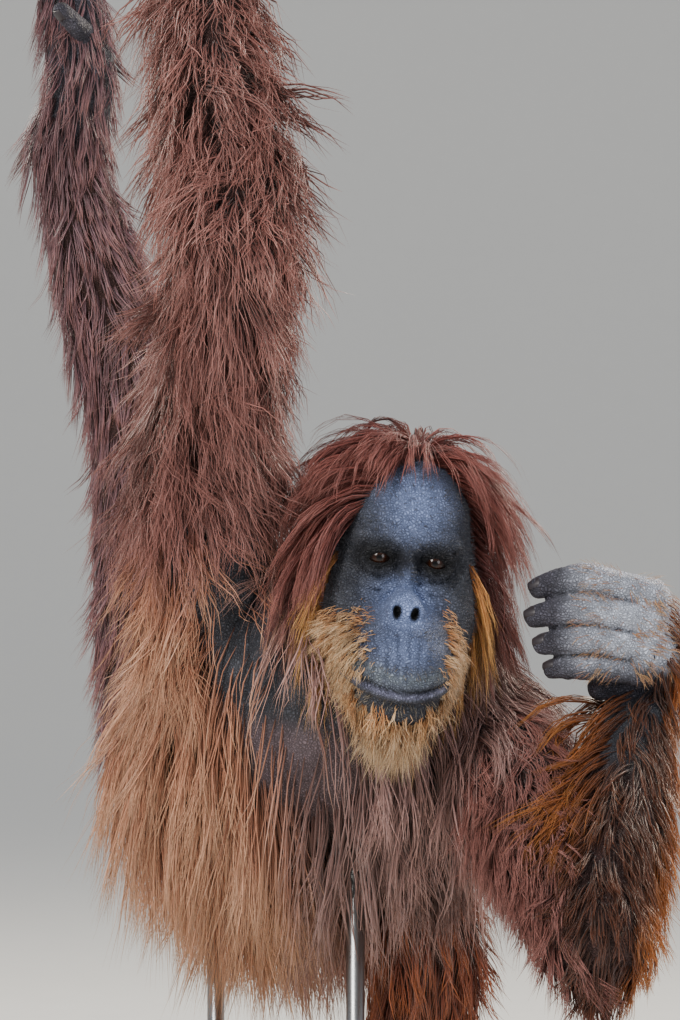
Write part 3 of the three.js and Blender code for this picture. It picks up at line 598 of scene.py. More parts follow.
def grid_faces(rows, columns, closed=True):
    """Quads over a grid of points, closed round its columns."""
    i, j = np.meshgrid(np.arange(rows - 1), np.arange(columns if closed else columns - 1),
                       indexing="ij")
    k = (j + 1) % columns
    return np.stack([i * columns + j, i * columns + k, (i + 1) * columns + k,
                     (i + 1) * columns + j], -1).reshape(-1, 4)


def capped_grid(grid, start, end):
    """Points and faces of a closed tube: a grid of rows, with a pole at each end."""
    rows, columns = grid.shape[:2]
    points = np.vstack([grid.reshape(-1, 3), start, end])
    j = np.arange(columns)
    k = (j + 1) % columns
    first = np.stack([np.full(columns, rows * columns), k, j], 1)
    last = np.stack([np.full(columns, rows * columns + 1), (rows - 1) * columns + j,
                     (rows - 1) * columns + k], 1)
    return points, [grid_faces(rows, columns), np.vstack([first, last])]


def tube_mesh(form, sides=20):
    """The surface of a Tube: its sections, with half-round ends of three rings."""
    angle = np.linspace(0, 2 * np.pi, sides, endpoint=False)
    round_ends = np.array([0.9, 0.6, 0.3])
    rings = []

    def ring(i, push, shrink):
        a, o, t = form.across[i], form.over[i], form.along[i]
        w, d = form.size[i] * shrink
        centre = form.centre[i] + t * push * form.size[i].min()
        return centre + np.cos(angle)[:, None] * w * a + np.sin(angle)[:, None] * d * o

    rings += [ring(0, -lift, np.sqrt(1 - lift**2)) for lift in round_ends]
    rings += [ring(i, 0, 1) for i in range(len(form.centre))]
    rings += [ring(-1, lift, np.sqrt(1 - lift**2)) for lift in round_ends[::-1]]
    start = form.centre[0] - form.along[0] * form.size[0].min()
    end = form.centre[-1] + form.along[-1] * form.size[-1].min()
    return capped_grid(np.array(rings), start, end)


def joined(pieces):
    """Several capped grids as one: points stacked, and then all quads and all triangles, each
    moved on by the number of points before its piece."""
    firsts = np.cumsum([0] + [len(p) for p, _ in pieces])
    moved_on = [[f + first for f in faces] for (_, faces), first in zip(pieces, firsts)]
    return np.vstack([p for p, _ in pieces]), [np.vstack(kind) for kind in zip(*moved_on)]


def remeshed(pieces, voxel):
    """One closed surface round several closed ones, at an even grid size in millimetres."""
    obj = new_object("blank", *joined(pieces))
    modifier = obj.modifiers.new("Remesh", "REMESH")
    modifier.mode = "VOXEL"
    modifier.voxel_size = voxel * MM
    bpy.context.view_layer.update()
    whole = obj.evaluated_get(bpy.context.evaluated_depsgraph_get()).to_mesh()
    co = np.empty(len(whole.vertices) * 3, np.float32)
    whole.vertices.foreach_get("co", co)
    index = np.empty(len(whole.loops), np.int32)
    whole.loops.foreach_get("vertex_index", index)
    totals = np.empty(len(whole.polygons), np.int32)
    whole.polygons.foreach_get("loop_total", totals)
    if not (totals == 4).all():
        raise RuntimeError("the remeshed surface has faces other than quads")
    data = obj.data
    bpy.data.objects.remove(obj)
    bpy.data.meshes.remove(data)
    return co.reshape(-1, 3).astype(float) / MM, index.reshape(-1, 4)


def relaxed(points, quads, rounds=2, share=0.5):
    """Each point moves part of the way to the middle of the points that it shares an edge with."""
    edges = np.vstack([quads[:, [0, 1]], quads[:, [1, 2]], quads[:, [2, 3]], quads[:, [3, 0]]])
    count = np.bincount(edges.ravel(), minlength=len(points))[:, None]
    for _ in range(rounds):
        total = np.zeros_like(points)
        for k in range(3):
            total[:, k] = (np.bincount(edges[:, 0], points[edges[:, 1], k], len(points))
                           + np.bincount(edges[:, 1], points[edges[:, 0], k], len(points)))
        points = mix(points, total / np.maximum(count, 1), share)
    return points


def set_colours(obj, name, colours):
    """A colour for each point of a mesh, kept as an attribute."""
    layer = obj.data.color_attributes.new(name, "FLOAT_COLOR", "POINT")
    rgba = np.ones((len(colours), 4), np.float32)
    rgba[:, :3] = colours
    layer.data.foreach_set("color", rgba.ravel())


# Colours


def linear(code):
    """A colour from a six-figure code, as linear values."""
    srgb = np.array([int(code[i:i + 2], 16) for i in (0, 2, 4)]) / 255
    return np.where(srgb <= 0.04045, srgb / 12.92, ((srgb + 0.055) / 1.055) ** 2.4)


SKIN_DARK = linear("2b2b31")
SKIN_FACE = linear("5d6069")
# Pale skin of the brow, nose and muzzle, with a painted highlight
SKIN_PALE_HIGHLIGHT = linear("9aaee4")
SKIN_MOSS = linear("8f9896")
SKIN_LIP = linear("8a8aa6")
SKIN_CHEST = linear("75666c")
SKIN_HAND = linear("5c5a66")
# Painted highlight of the back of the left hand
SKIN_LIT = linear("e6ecfc")
SKIN_UNDER = linear("4a3330")

COAT_DARK = linear("3d2119")
COAT_RED = linear("7a4030")
# The shade and rust colours of the left forearm are painted shade: darker copies of the coat
COAT_SHADE = linear("482513")
COAT_PLUM = linear("8a5850")
COAT_VIOLET = linear("785860")
COAT_ORANGE = linear("b5652f")
COAT_TAN = linear("dcae8a")
COAT_SHADED_RUST = linear("723c21")
# Painted backlight glow at the tips on the outer side of the left forearm
COAT_BACKLIGHT_GLOW = linear("cd8743")
COAT_DUSK = linear("936f69")
COAT_HAZE = linear("c0968b")
COAT_FLANK = linear("ba7d5e")
COAT_ROSE = linear("bb8074")

SIDE_GOLD = linear("cf9950")
BEARD_PALE = linear("f3dfc0")
BEARD_GOLD = linear("dab180")
BEARD_ORANGE = linear("bd7a45")
HEAD_RED = linear("82463f")
FUZZ_GREY = linear("6d6d74")


def hairline(x):
    """Height of the edge of the hair over the brow: highest a little to the left of the middle
    of the head and lower towards the temples."""
    return 103 - 58 * ((x - 10) / 62) ** 2


def skin_colours(points):
    """The skin's markings, with painted light and shade, from where a point lies on the head,
    chest, hands and feet: painted highlights on the brow, nose, muzzle and back of the left hand,
    and painted shade round the eyes, in the nostrils, along the mouth's cut, in the lip's furrows
    and between the left fingers.
    """
    h = from_head(points)
    x, y, z = h.T
    spots = value_noise(points, 9.0, 3)[:, None]
    fine = value_noise(points, 2.6, 4)[:, None]
    colour = np.tile(SKIN_UNDER, (len(points), 1))
    belly = np.exp(-(((points - vec((-45, -190, 590))) / (85, 120, 120)) ** 2).sum(1))[:, None]
    colour = mix(colour, SKIN_CHEST, np.clip(belly * 1.6, 0, 1))
    edge = hairline(x) + 3
    head = (smoothstep(45, 20, y) * smoothstep(-175, -150, z)
            * np.where(z > 20, smoothstep(edge + 7, edge, z), 1))[:, None]
    face = mix(SKIN_DARK, SKIN_FACE, 0.55 + 0.3 * spots)
    front = (y < -60)[:, None]
    brow = np.exp(-(((x - 2) / 30) ** 2 + ((z - 60) / 34) ** 2))[:, None]
    nose = np.exp(-((x / 27) ** 2 + ((z + 38) / 28) ** 2))[:, None] * front
    muzzle = np.exp(-((x / 38) ** 2 + ((z + 76) / 30) ** 2) * 1.2)[:, None] * front
    # Paler brow, nose and muzzle: partly their own pale skin, partly a painted highlight
    pale = np.clip(np.maximum(0.85 * brow, np.maximum(nose, 0.62 * muzzle)), 0, 1)
    face = mix(face, SKIN_PALE_HIGHLIGHT, pale)
    mouth_z = mouth_height(x)
    above = np.exp(-(((z - mouth_z - 11) / 8) ** 2))[:, None] * front
    face = mix(face, SKIN_MOSS, 0.55 * above * (0.7 + 0.5 * fine))
    # Painted shade in the vertical furrows of the upper lip, which creased() also cuts into the
    # surface
    lines = np.maximum(np.sin(x / 1.6 + 1.2 * value_noise(points, 9.0, 14)), 0)[:, None]
    lip = np.exp(-((x / 30) ** 2 + ((z + 80) / 20) ** 2))[:, None] * front
    face = face * (1 - 0.45 * lines * lip)
    for way in (-1, 1):
        ex, ey, ez = eye_centre(way)
        # Darker skin round each eye, darkest at the lids: partly the skin's own dark tone, partly
        # painted shade of the deep-set sockets
        r = np.hypot((x - ex) / 1.45, z - ez)[:, None]
        face = mix(face, SKIN_DARK * 0.5, 0.85 * smoothstep(25, 12, r))
        face = mix(face, SKIN_DARK * 0.22, 0.95 * smoothstep(13, 8, r))
        # Painted shade inside each nostril
        nx, nz = nostril(way)
        hole = np.hypot((x - nx) / 0.62, z - nz)[:, None]
        face = mix(face, SKIN_DARK * 0.1, smoothstep(9, 5, hole) * (y < -90)[:, None])
    chin = smoothstep(-122, -132, z)[:, None]
    face = mix(face, SKIN_DARK, 0.25 * chin)
    lower = np.exp(-(((z - mouth_z + 4.6) / 2.2) ** 2))[:, None] * (np.abs(x) < 44)[:, None]
    face = mix(face, SKIN_LIP, np.clip(lower * front, 0, 0.85))
    # Painted shade along the cut of the mouth
    seam = np.exp(-(((z - mouth_z + 0.5) / 1.7) ** 2))[:, None] * (np.abs(x) < 53)[:, None]
    face = mix(face, SKIN_DARK * 0.2, seam * front * 0.9)
    colour = mix(colour, face, head)
    for name, palm in PALMS.items():
        forms = [palm, *DIGITS[name]]
        d, _ = measure(forms, points)
        near = smoothstep(14, 2, d)[:, None]
        hide = mix(SKIN_DARK, SKIN_HAND, 0.7 + 0.3 * spots)
        if name == "left_hand":
            # Painted highlight over the upper back of the left hand, where the light falls from
            # above
            lit = (smoothstep(215, 262, points[:, 0]) * smoothstep(592, 628, points[:, 2]))
            hide = mix(hide, SKIN_LIT, (0.9 * lit)[:, None] * (0.8 + 0.2 * spots))
            # Painted shade between the left hand's fingers, where they lie close together
            apart = np.sort([f.measure(points)[0] for f in DIGITS[name][:4]], axis=0)[1]
            between = smoothstep(4.5, 0.5, apart) * smoothstep(306, 290, points[:, 0])
            hide = mix(hide, SKIN_DARK * 0.5, (0.9 * between)[:, None])
        colour = mix(colour, hide, near)
    return np.clip(colour * (1 + 0.10 * fine + 0.08 * spots), 0, 1)


# The skin


def head_mesh(rings=190, spokes=230):
    """The head as a star of rays from a point inside it: each ray is followed outwards and then
    halved down on to the surface. Rays crowd towards the middle of the face."""
    middle = on_head((0, -22, -30))
    v = np.linspace(0, 1, rings + 1)[1:-1]
    polar = np.pi * (0.62 * v + 0.38 * v**2)
    around = np.linspace(0, 2 * np.pi, spokes, endpoint=False)
    p, a = np.meshgrid(polar, around, indexing="ij")
    ways = np.stack([np.sin(p) * np.cos(a), -np.cos(p), np.sin(p) * np.sin(a)], -1).reshape(-1, 3)
    ways = np.vstack([ways, [0, -1, 0], [0, 1, 0]]) @ HEAD_MATRIX.T
    far = np.full(len(ways), 170.0)
    for _ in range(14):
        d, _ = measure(HEAD_FORMS, middle + ways * far[:, None], 400)
        far -= np.clip(d, -6, 30) * 0.75
    for _ in range(10):
        d, _ = measure(HEAD_FORMS, middle + ways * far[:, None], 400)
        far -= np.clip(d, -3, 3) * 0.6
    points = middle + ways * far[:, None]
    grid = points[:-2].reshape(rings - 1, spokes, 3)
    return capped_grid(grid, points[-2], points[-1])


def creased(points, normals):
    """Fine folds of the face: small ripples that run round the eyes, down the upper lip and
    across the brow, faded out away from each."""
    h = from_head(points)
    x, y, z = h.T
    front = smoothstep(30, -10, y) * smoothstep(-150, -138, z) * smoothstep(120, 100, z)
    rough = value_noise(points, 5.0, 11) * 0.5 + value_noise(points, 2.4, 12) * 0.35
    push = 0.6 * rough * front
    for way in (-1, 1):
        ex, ey, ez = eye_centre(way)
        r = np.hypot(x - ex, (z - ez) * 1.15)
        wobble = 0.9 * value_noise(points, 11.0, 13)
        rings = np.sin((r / 3.3 + wobble) * 2)
        push += 0.7 * rings * np.exp(-((r - 30) / 13) ** 2) * front
    lip = np.exp(-((x / 30) ** 2 + ((z + 84) / 18) ** 2)) * (y < -80)
    push -= 0.6 * np.maximum(np.sin(x / 1.6 + 1.2 * value_noise(points, 9.0, 14)), 0) * lip
    brow = np.exp(-((x / 40) ** 2 + ((z - 42) / 16) ** 2)) * (y < -30)
    push += 0.4 * np.sin(z / 2.3 + 1.4 * value_noise(points, 14.0, 15)) * brow
    return points + normals * push[:, None]


def joint_creases(points, digits):
    """Wrinkles across the joints of digits: ripples along each, 0.8 mm deep, that fade out away
    from its two joints, and coarser folds from noise all over."""
    _, normals = measure(digits, points)
    push = 0.5 * value_noise(points, 6.0, 16) + 0.3 * value_noise(points, 3.0, 17)
    for digit in digits:
        d, _ = digit.measure(points)
        share, _, _ = digit.place(points)
        length = np.linalg.norm(np.diff(digit.centre, axis=0), axis=1).sum()
        near = smoothstep(4, 1, d)
        for joint in (0.42, 0.74):
            away = (share - joint) * length
            ripple = np.cos(away * 2.1 + 0.8 * value_noise(points, 8.0, 18))
            push = push - 0.8 * near * np.exp(-((away / 7) ** 2)) * (0.5 + 0.5 * ripple)
    return points + normals * push[:, None]


@lru_cache(maxsize=1)
def body_shell():
    """The skin of the trunk, neck, arms and legs with the palms and soles: points and quads."""
    points, quads = remeshed(
        [tube_mesh(form) for form in (*LIMBS.values(), *PALMS.values())], 7.0)
    return settle(relaxed(points, quads, 3), BODY_FORMS), quads


def build_skin():
    """One mesh of five kinds of part: the body's shell, sunk a little, most of all at the wrists
    and ankles, under finer hands and feet; the ears, from balls; and the head."""
    body_points, body_quads = body_shell()
    d, _ = measure(list(PALMS.values()), body_points)
    sunk = 0.3 + 1.5 * smoothstep(12, 2, d)
    body_points = body_points - measure(BODY_FORMS, body_points)[1] * sunk[:, None]
    parts = [(body_points, [body_quads])]
    for name, palm in PALMS.items():
        forms = [palm, *DIGITS[name]]
        points, quads = remeshed([tube_mesh(f, 16) for f in forms],
                                 2.3 if name == "left_hand" else 3.2)
        points = joint_creases(settle(relaxed(points, quads, 2), forms), DIGITS[name])
        if name == "left_foot":
            points[:, 2] = np.maximum(points[:, 2], BASE_TOP + 0.4)
        parts.append((points, [quads]))
    for way in (-1, 1):
        forms = ear_forms(way)
        turn, centre = forms[0].turn.T, forms[0].centre
        thick, deep, tall = EAR_RADII
        rows = np.linspace(0, np.pi, 26)[1:-1]
        around = np.linspace(0, 2 * np.pi, 40, endpoint=False)
        p, a = np.meshgrid(rows, around, indexing="ij")
        ball = np.stack([-way * np.cos(p) * thick, np.sin(p) * np.cos(a) * deep,
                         way * np.sin(p) * np.sin(a) * -tall], -1) @ turn + centre
        ends = np.array([[-way * thick, 0, 0], [way * thick, 0, 0]]) @ turn + centre
        points, faces = capped_grid(ball, ends[0], ends[1])
        parts.append((settle(points, forms, 6), faces))
    points, faces = head_mesh()
    normals = measure(HEAD_FORMS, points, 400)[1]
    parts.append((creased(points, normals), faces))
    firsts = np.cumsum([0] + [len(p) for p, _ in parts])
    points = np.vstack([p for p, _ in parts])
    skin = new_object("skin", points, [f + first for (_, faces), first in zip(parts, firsts)
                                       for f in faces])
    set_colours(skin, "tone", skin_colours(points))
    return skin


# The coat

# Each region of the body's coat: the forms that carry it, how thickly its tufts stand, their
# length, width and number of points, how much they follow the limb, hang, stand off the skin,
# swirl and gather into locks, how deep the coat is, and its colours
COAT_REGIONS = {
    "arm_right": dict(
        forms=("right_upper_arm", "right_forearm"), density=1.35, length=(65, 140), width=1.15,
        steps=5, along=-0.35, hang=0.55, lift=0.42, swirl=1.0, gather=0.42, depth=28,
        middle=COAT_PLUM, light=COAT_ROSE),
    "arm_left": dict(
        forms=("left_upper_arm",), density=1.5, length=(60, 110), width=1.2,
        steps=4, along=0.95, hang=0.35, lift=0.06, swirl=0.15, gather=0.4, depth=9,
        middle=COAT_PLUM, light=COAT_ROSE),
    # Painted shade: the left forearm's coat takes darker copies of the coat colours
    "forearm_left": dict(
        forms=("left_forearm", "left_hand"), density=1.2, length=(65, 120), width=1.2,
        steps=5, along=-0.8, hang=0.7, lift=0.12, swirl=0.2, gather=0.5, depth=11,
        middle=COAT_SHADE, light=COAT_SHADED_RUST),
    "trunk": dict(
        forms=("trunk", "neck"), density=0.9, length=(110, 215), width=1.5,
        steps=5, along=0.15, hang=1.0, lift=0.14, swirl=0.2, gather=0.5, depth=20,
        middle=COAT_DUSK, light=COAT_HAZE),
    "leg_right": dict(
        forms=("right_thigh", "right_shin", "right_foot"), density=0.9, length=(45, 85),
        width=1.2, steps=4, along=-0.8, hang=0.4, lift=0.06, swirl=0.12, gather=0.4, depth=7,
        middle=COAT_VIOLET, light=COAT_ROSE),
    "leg_left": dict(
        forms=("left_thigh", "left_shin", "left_foot"), density=0.85, length=(65, 125), width=1.45,
        steps=4, along=0.6, hang=0.7, lift=0.12, swirl=0.25, gather=0.6, depth=13,
        middle=COAT_RED, light=COAT_ORANGE),
}
TUFT_COUNT = 59000
# Height from which a hand or foot is bare, on the side of its digits
BARE_FROM = {"left_foot": 95, "right_foot": 1310, "left_hand": 588, "right_hand": 1325}
GUIDE_SHARE = 9
MOST_TRIANGLES = 190000
ROOT_DEPTH = 2.5
PATCH_SIZE = 0.003
# Painted shade and highlight across each blade: brightness of its two edges and of its ridge
STRAND_PAINTED_SHADING = (0.7, 0.95, 1.3)
ATLAS = {name: i for i, name in enumerate([*LIMBS, *(f"{n}_palm" for n in PALMS)])}


def carrier(name):
    """The form that a name in a region stands for, and its cell on the map of root places."""
    return (LIMBS[name], name) if name in LIMBS else (PALMS[name], f"{name}_palm")


def surface_roots(points, quads, count, rng):
    """Random places on a mesh of quads, even by area, each on one of a quad's two triangles."""
    corners = np.vstack([quads[:, [0, 1, 2]], quads[:, [0, 2, 3]]])
    a, b, c = (points[corners[:, k]] for k in range(3))
    area = np.linalg.norm(np.cross(b - a, c - a), axis=1)
    pick = rng.choice(len(corners), count, p=area / area.sum())
    u, v = rng.random((2, count, 1))
    u, v = np.where(u + v > 1, 1 - u, u), np.where(u + v > 1, 1 - v, v)
    return a[pick] + (b - a)[pick] * u + (c - a)[pick] * v


def nearest_guides(guides, roots):
    """For each root, the guide that starts nearest to it."""
    tree = KDTree(len(guides))
    for i, place in enumerate(guides):
        tree.insert(place, i)
    tree.balance()
    return np.array([tree.find(place)[1] for place in roots])


def grow(roots, normals, flow, length, lift, hang, height, forms, rng, steps=7, swirl=0.3,
         wave=0.10, rise=2.0):
    """Centre lines of guide tufts. Each starts inside the skin, rises by its lift and then
    follows the lie, drawn down by its weight more and more towards the tip, and is pushed out
    of the body to its own height in the coat."""
    count = len(roots)
    tangent = unit(flow - dot(flow, normals)[:, None] * normals)
    side = np.cross(normals, tangent)
    turn = (value_noise(roots, 52.0, 21) * 1.3 + value_noise(roots, 19.0, 22) * 0.6) * swirl
    turn = turn + rng.normal(0, 0.06 + 0.2 * swirl, count)
    heading = unit(tangent * np.cos(turn)[:, None] + side * np.sin(turn)[:, None])
    way = unit(heading + normals * lift[:, None])
    lines = np.empty((count, steps, 3))
    lines[:, 0] = roots - normals * ROOT_DEPTH
    step = length / (steps - 1)
    bend = rng.normal(0, wave, (count, 3))
    for k in range(1, steps):
        share = k / (steps - 1)
        way = unit(way + np.outer(np.broadcast_to(hang, count), (0, 0, -0.6 * share))
                   + bend * (0.3 + share))
        here = lines[:, k - 1] + way * step[:, None]
        d, n = measure(forms, here, 40)
        here = here + n * np.clip(height * np.minimum(1, share * rise) - d, 0, 30)[:, None]
        lines[:, k] = here
        way = unit(here - lines[:, k - 1])
    return lines


def follow(guides, guide_roots, which, roots, normals, gather, height, steps, frizz, forms, rng,
           rise=2.4):
    """Centre lines of tufts that follow their guides: each keeps its own root, and its offset
    from the guide shrinks towards the tip by the share that gathers, so that tufts draw
    together into locks."""
    count, points = len(roots), guides.shape[1]
    s = np.linspace(0, 1, steps)
    reach = rng.uniform(0.7, 1.0, count)[:, None] * s[None]
    u = reach * (points - 1)
    k = np.minimum(u.astype(int), points - 2)
    lines = mix(guides[which[:, None], k], guides[which[:, None], k + 1], (u - k)[..., None])
    apart = (roots - guide_roots[which])[:, None] * (1 - gather * s**0.9)[None, :, None]
    lines += apart
    wild = rng.normal(0, 1, (count, 1, 3)) * s[None, :, None] ** 1.5
    kink = rng.normal(0, 0.5, (count, steps, 3)) * s[None, :, None]
    lines += (wild + kink) * frizz
    lines[:, 0] = roots - normals * ROOT_DEPTH
    d, n = measure(forms, lines[:, 1:].reshape(-1, 3), 40)
    want = (height[:, None] * np.minimum(1, s[1:] * rise)).ravel()
    lines[:, 1:] += (n * np.clip(want - d, 0, 30)[:, None]).reshape(count, steps - 1, 3)
    return lines


def held_in(points, soft=28.0, slack=0.012):
    """Draws points that near the sides of the solids' box back: from a soft zone's start on,
    the way past it counts as soft * (1 - exp(-way / soft)), which never passes the zone."""
    low, high = (vec(corner) / MM for corner in CAD_BOX)
    low, high = low - slack * (high - low), high + slack * (high - low)
    low[2] = -1e3
    over = np.maximum(points - (high - soft), 0)
    under = np.maximum(low + soft - points, 0)
    return (points - over + soft * (1 - np.exp(-over / soft))
            + under - soft * (1 - np.exp(-under / soft)))


def taper(count, steps, width, rng):
    """Widths along a tuft: full a quarter of the way along and ever thinner to the tip, and
    different from one tuft to the next."""
    s = np.linspace(0, 1, steps)
    shape = np.interp(s, [0, 0.25, 0.6, 0.85, 1], [0.8, 1, 0.72, 0.42, 0.2])
    return width * np.exp(rng.normal(0, 0.3, count))[:, None] * shape


def tuft_mesh(lines, facing, widths, thickness=0.36):
    """Tufts as closed blades of three sides: each line's points carry a flat triangle, its base
    across the lie and its ridge outwards, and all close in a point at the tip."""
    count, steps = lines.shape[:2]
    along = unit(np.gradient(lines, axis=1))
    across = unit(np.cross(along, facing))
    out = np.cross(across, along)
    w = widths[:, :, None] / 2
    body = np.stack([lines - across * w, lines + across * w,
                     lines + out * w * 2 * thickness], axis=2)[:, :-1]
    rows = steps - 1
    points = np.concatenate([body.reshape(count, rows * 3, 3), lines[:, -1:]], axis=1)
    quads = grid_faces(rows, 3)[:, ::-1]
    tip, last = rows * 3, rows * 3 - 3
    tris = np.array([[last + 1, last, tip], [last + 2, last + 1, tip], [last, last + 2, tip],
                     [0, 1, 2]])
    base = (np.arange(count) * (tip + 1))[:, None, None]
    return points.reshape(-1, 3), [(quads + base).reshape(-1, 4), (tris + base).reshape(-1, 3)]


def finish_coat(name, lines, facing, widths, colours, patch):
    """The meshes of a coat piece, each under MOST_TRIANGLES triangles, with colours from root to
    tip and a map of root places. Tufts are shared out by the height of their roots."""
    lines = held_in(lines)
    steps = lines.shape[1]
    each = (steps - 2) * 6 + 4
    order = np.argsort(lines[:, 0, 2])
    parts = np.array_split(order, int(np.ceil(len(order) * each / MOST_TRIANGLES)))
    share = np.append(np.repeat(np.linspace(0, 1, steps)[:-1], 3), 1.0)
    spot = np.stack([np.append(np.tile([0, 1, 0.5], steps - 1), 0.5), share], 1) * PATCH_SIZE
    # Painted shade on each blade's edges and a painted highlight on its ridge
    blade_shading = np.append(np.tile(STRAND_PAINTED_SHADING, steps - 1), 1.0)
    root, middle, tip = colours
    for number, part in enumerate(parts, 1):
        points, faces = tuft_mesh(lines[part], facing[part], widths[part])
        obj = new_object(f"{name}_{number}", points, faces)
        lower = smoothstep(0.0, 0.35, share)[None, :, None]
        upper = smoothstep(0.45, 1.0, share)[None, :, None]
        colour = mix(mix(root[part, None], middle[part, None], lower), tip[part, None], upper)
        colour = colour * blade_shading[None, :, None]
        set_colours(obj, "tone", colour.reshape(-1, 3))
        uv = (patch[part, None] + spot[None]).reshape(-1, 2)
        layer = obj.data.uv_layers.new(name="OFBake")
        corner = np.empty(len(obj.data.loops), np.int32)
        obj.data.loops.foreach_get("vertex_index", corner)
        layer.data.foreach_set("uv", uv[corner].astype(np.float32).ravel())
        obj.data.materials.append(coat_material())
        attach(obj, "root")


def bare_share(points):
    """How bare the skin is, from 0 to 1: highest along a band from the right armpit down the
    front of the chest."""
    start, end = vec((-78, -190, 705)), vec((-8, -240, 522))
    span = end - start
    t = np.clip((points - start) @ span / (span @ span), 0, 1)
    away = points - start - t[:, None] * span
    away[:, 1] *= 0.45
    return smoothstep(66, 40, np.linalg.norm(away, axis=1) + 14 * value_noise(points, 40.0, 31))


def body_coat(sizes):
    """Roots spread evenly over the body's skin, each given to the region nearest to it."""
    rng = np.random.default_rng(50)
    points, quads = body_shell()
    roots = surface_roots(points, quads, int(TUFT_COUNT * sizes.coat_amount), rng)
    carriers = [carrier(n) for facts in COAT_REGIONS.values() for n in facts["forms"]]
    carriers.append(carrier("right_hand"))
    nearest = np.argmin([form.measure(roots)[0] for form, _ in carriers], axis=0)
    number = 0
    for seed, (name, facts) in enumerate(COAT_REGIONS.items(), 51):
        mine = []
        for _ in facts["forms"]:
            mine.append(nearest == number)
            number += 1
        region_coat(name, facts, [roots[m] for m in mine], seed, sizes.tuft_width)


def region_roots(facts, groups, rng):
    """Roots of a region at its density, with their normals, the way along their form, places on
    the map of roots and how much they face the viewer. Bare skin keeps few or none, and the back
    keeps two thirds."""
    roots = np.vstack(groups)
    along, patch = [], []
    for group, form_name in zip(groups, facts["forms"]):
        form, cell = carrier(form_name)
        place, angle, way = form.place(group)
        index = ATLAS[cell]
        along.append(way)
        patch.append(np.stack([(index % 4 + 0.02 + 0.95 * angle) / 4,
                               (index // 4 + 0.02 + 0.95 * place) / 4], 1))
    along, patch = np.vstack(along), np.vstack(patch)
    repeat = rng.random(len(roots)) < facts["density"] - 1
    pick = np.concatenate([np.flatnonzero(rng.random(len(roots)) < facts["density"]),
                           np.flatnonzero(repeat)])
    roots = roots[pick] + rng.normal(0, 2.0, (len(pick), 3))
    along, patch = along[pick], patch[pick]
    roots = settle(roots, BODY_FORMS, 2)
    normals = measure(BODY_FORMS, roots)[1]
    head_d, _ = measure(HEAD_FORMS[:12], roots, 30)
    keep = (rng.random(len(roots)) > bare_share(roots) * 0.93) & (head_d > -4)
    for palm_name, palm in PALMS.items():
        d, _ = measure([palm, *DIGITS[palm_name]], roots, 30)
        bare = (roots[:, 2] - BARE_FROM[palm_name]) * (1 if palm_name != "left_foot" else -1) > 0
        if palm_name == "left_hand":
            edge = smoothstep(312, 332, roots[:, 0]) * smoothstep(692, 655, roots[:, 2])
            bare &= rng.random(len(roots)) > edge
        keep &= ~((d < 12) & bare)
    seen = smoothstep(-0.4, 0.4, -normals[:, 1])
    kept = [a[keep] for a in (roots, normals, along, patch, seen)]
    front = rng.random(len(kept[0])) < mix(0.66, 1.0, kept[-1])
    return [a[front] for a in kept]


def region_flow(name, facts, roots, normals, along):
    """The way each tuft grows: along its form and down, sideways at the flank; and the share of
    the forearm's inner side, where the hair sweeps across to the hand."""
    flow = along * facts["along"] + np.array([0, 0, -1.0]) * facts["hang"]
    if name == "trunk":
        flow += smoothstep(60, 140, roots[:, 0])[:, None] * (0.9, -0.3, 0.1)
    inner = (smoothstep(0.0, -0.7, normals[:, 0]) * smoothstep(430, 520, roots[:, 2])
             * (name == "forearm_left"))
    flow += inner[:, None] * (-1.1, -0.1, 0.3)
    flow += (inner * smoothstep(515, 570, roots[:, 2]))[:, None] * (-0.7, 0, 0.55)
    return flow, inner


def region_colours(name, facts, roots, normals, inner, lock_tint, seed, rng):
    """Colours at root, middle and tip: dark to light by noise and by each lock's own tint, tan at
    the flank, and orange on the outer and inner sides of the left forearm, where the outer side
    carries a painted backlight with glowing tips that the inner sweep shares."""
    count = len(roots)
    tint = np.clip(0.5 + 0.45 * value_noise(roots, 70.0, seed + 6) + 0.5 * (lock_tint - 0.5)
                   + rng.normal(0, 0.16, count), 0, 1)[:, None]
    flank = (smoothstep(10, -70, roots[:, 0]) * smoothstep(775, 700, roots[:, 2])
             * smoothstep(250, 430, roots[:, 2]))[:, None] * (name in ("trunk", "arm_right"))
    # Painted backlight on the outer side of the left forearm: orange middles and glowing tips; the
    # inner sweep shares these colours
    outer = smoothstep(0.5, 0.95, normals[:, 0])[:, None] * (name == "forearm_left")
    outer = np.maximum(outer, 0.8 * inner[:, None])
    root = mix(COAT_DARK, facts["middle"], 0.35 * tint)
    middle = mix(COAT_DARK, facts["middle"], 0.55 + 0.45 * tint)
    middle = mix(mix(middle, COAT_FLANK, 0.85 * flank), COAT_ORANGE, 0.8 * outer)
    tip = mix(facts["middle"], facts["light"], 0.2 + 0.8 * tint)
    tip = mix(mix(tip, COAT_TAN, 0.9 * flank), COAT_BACKLIGHT_GLOW, 0.85 * outer)
    shade = np.exp(rng.normal(0, 0.15, count))[:, None]
    return root * shade, middle * shade, tip * shade


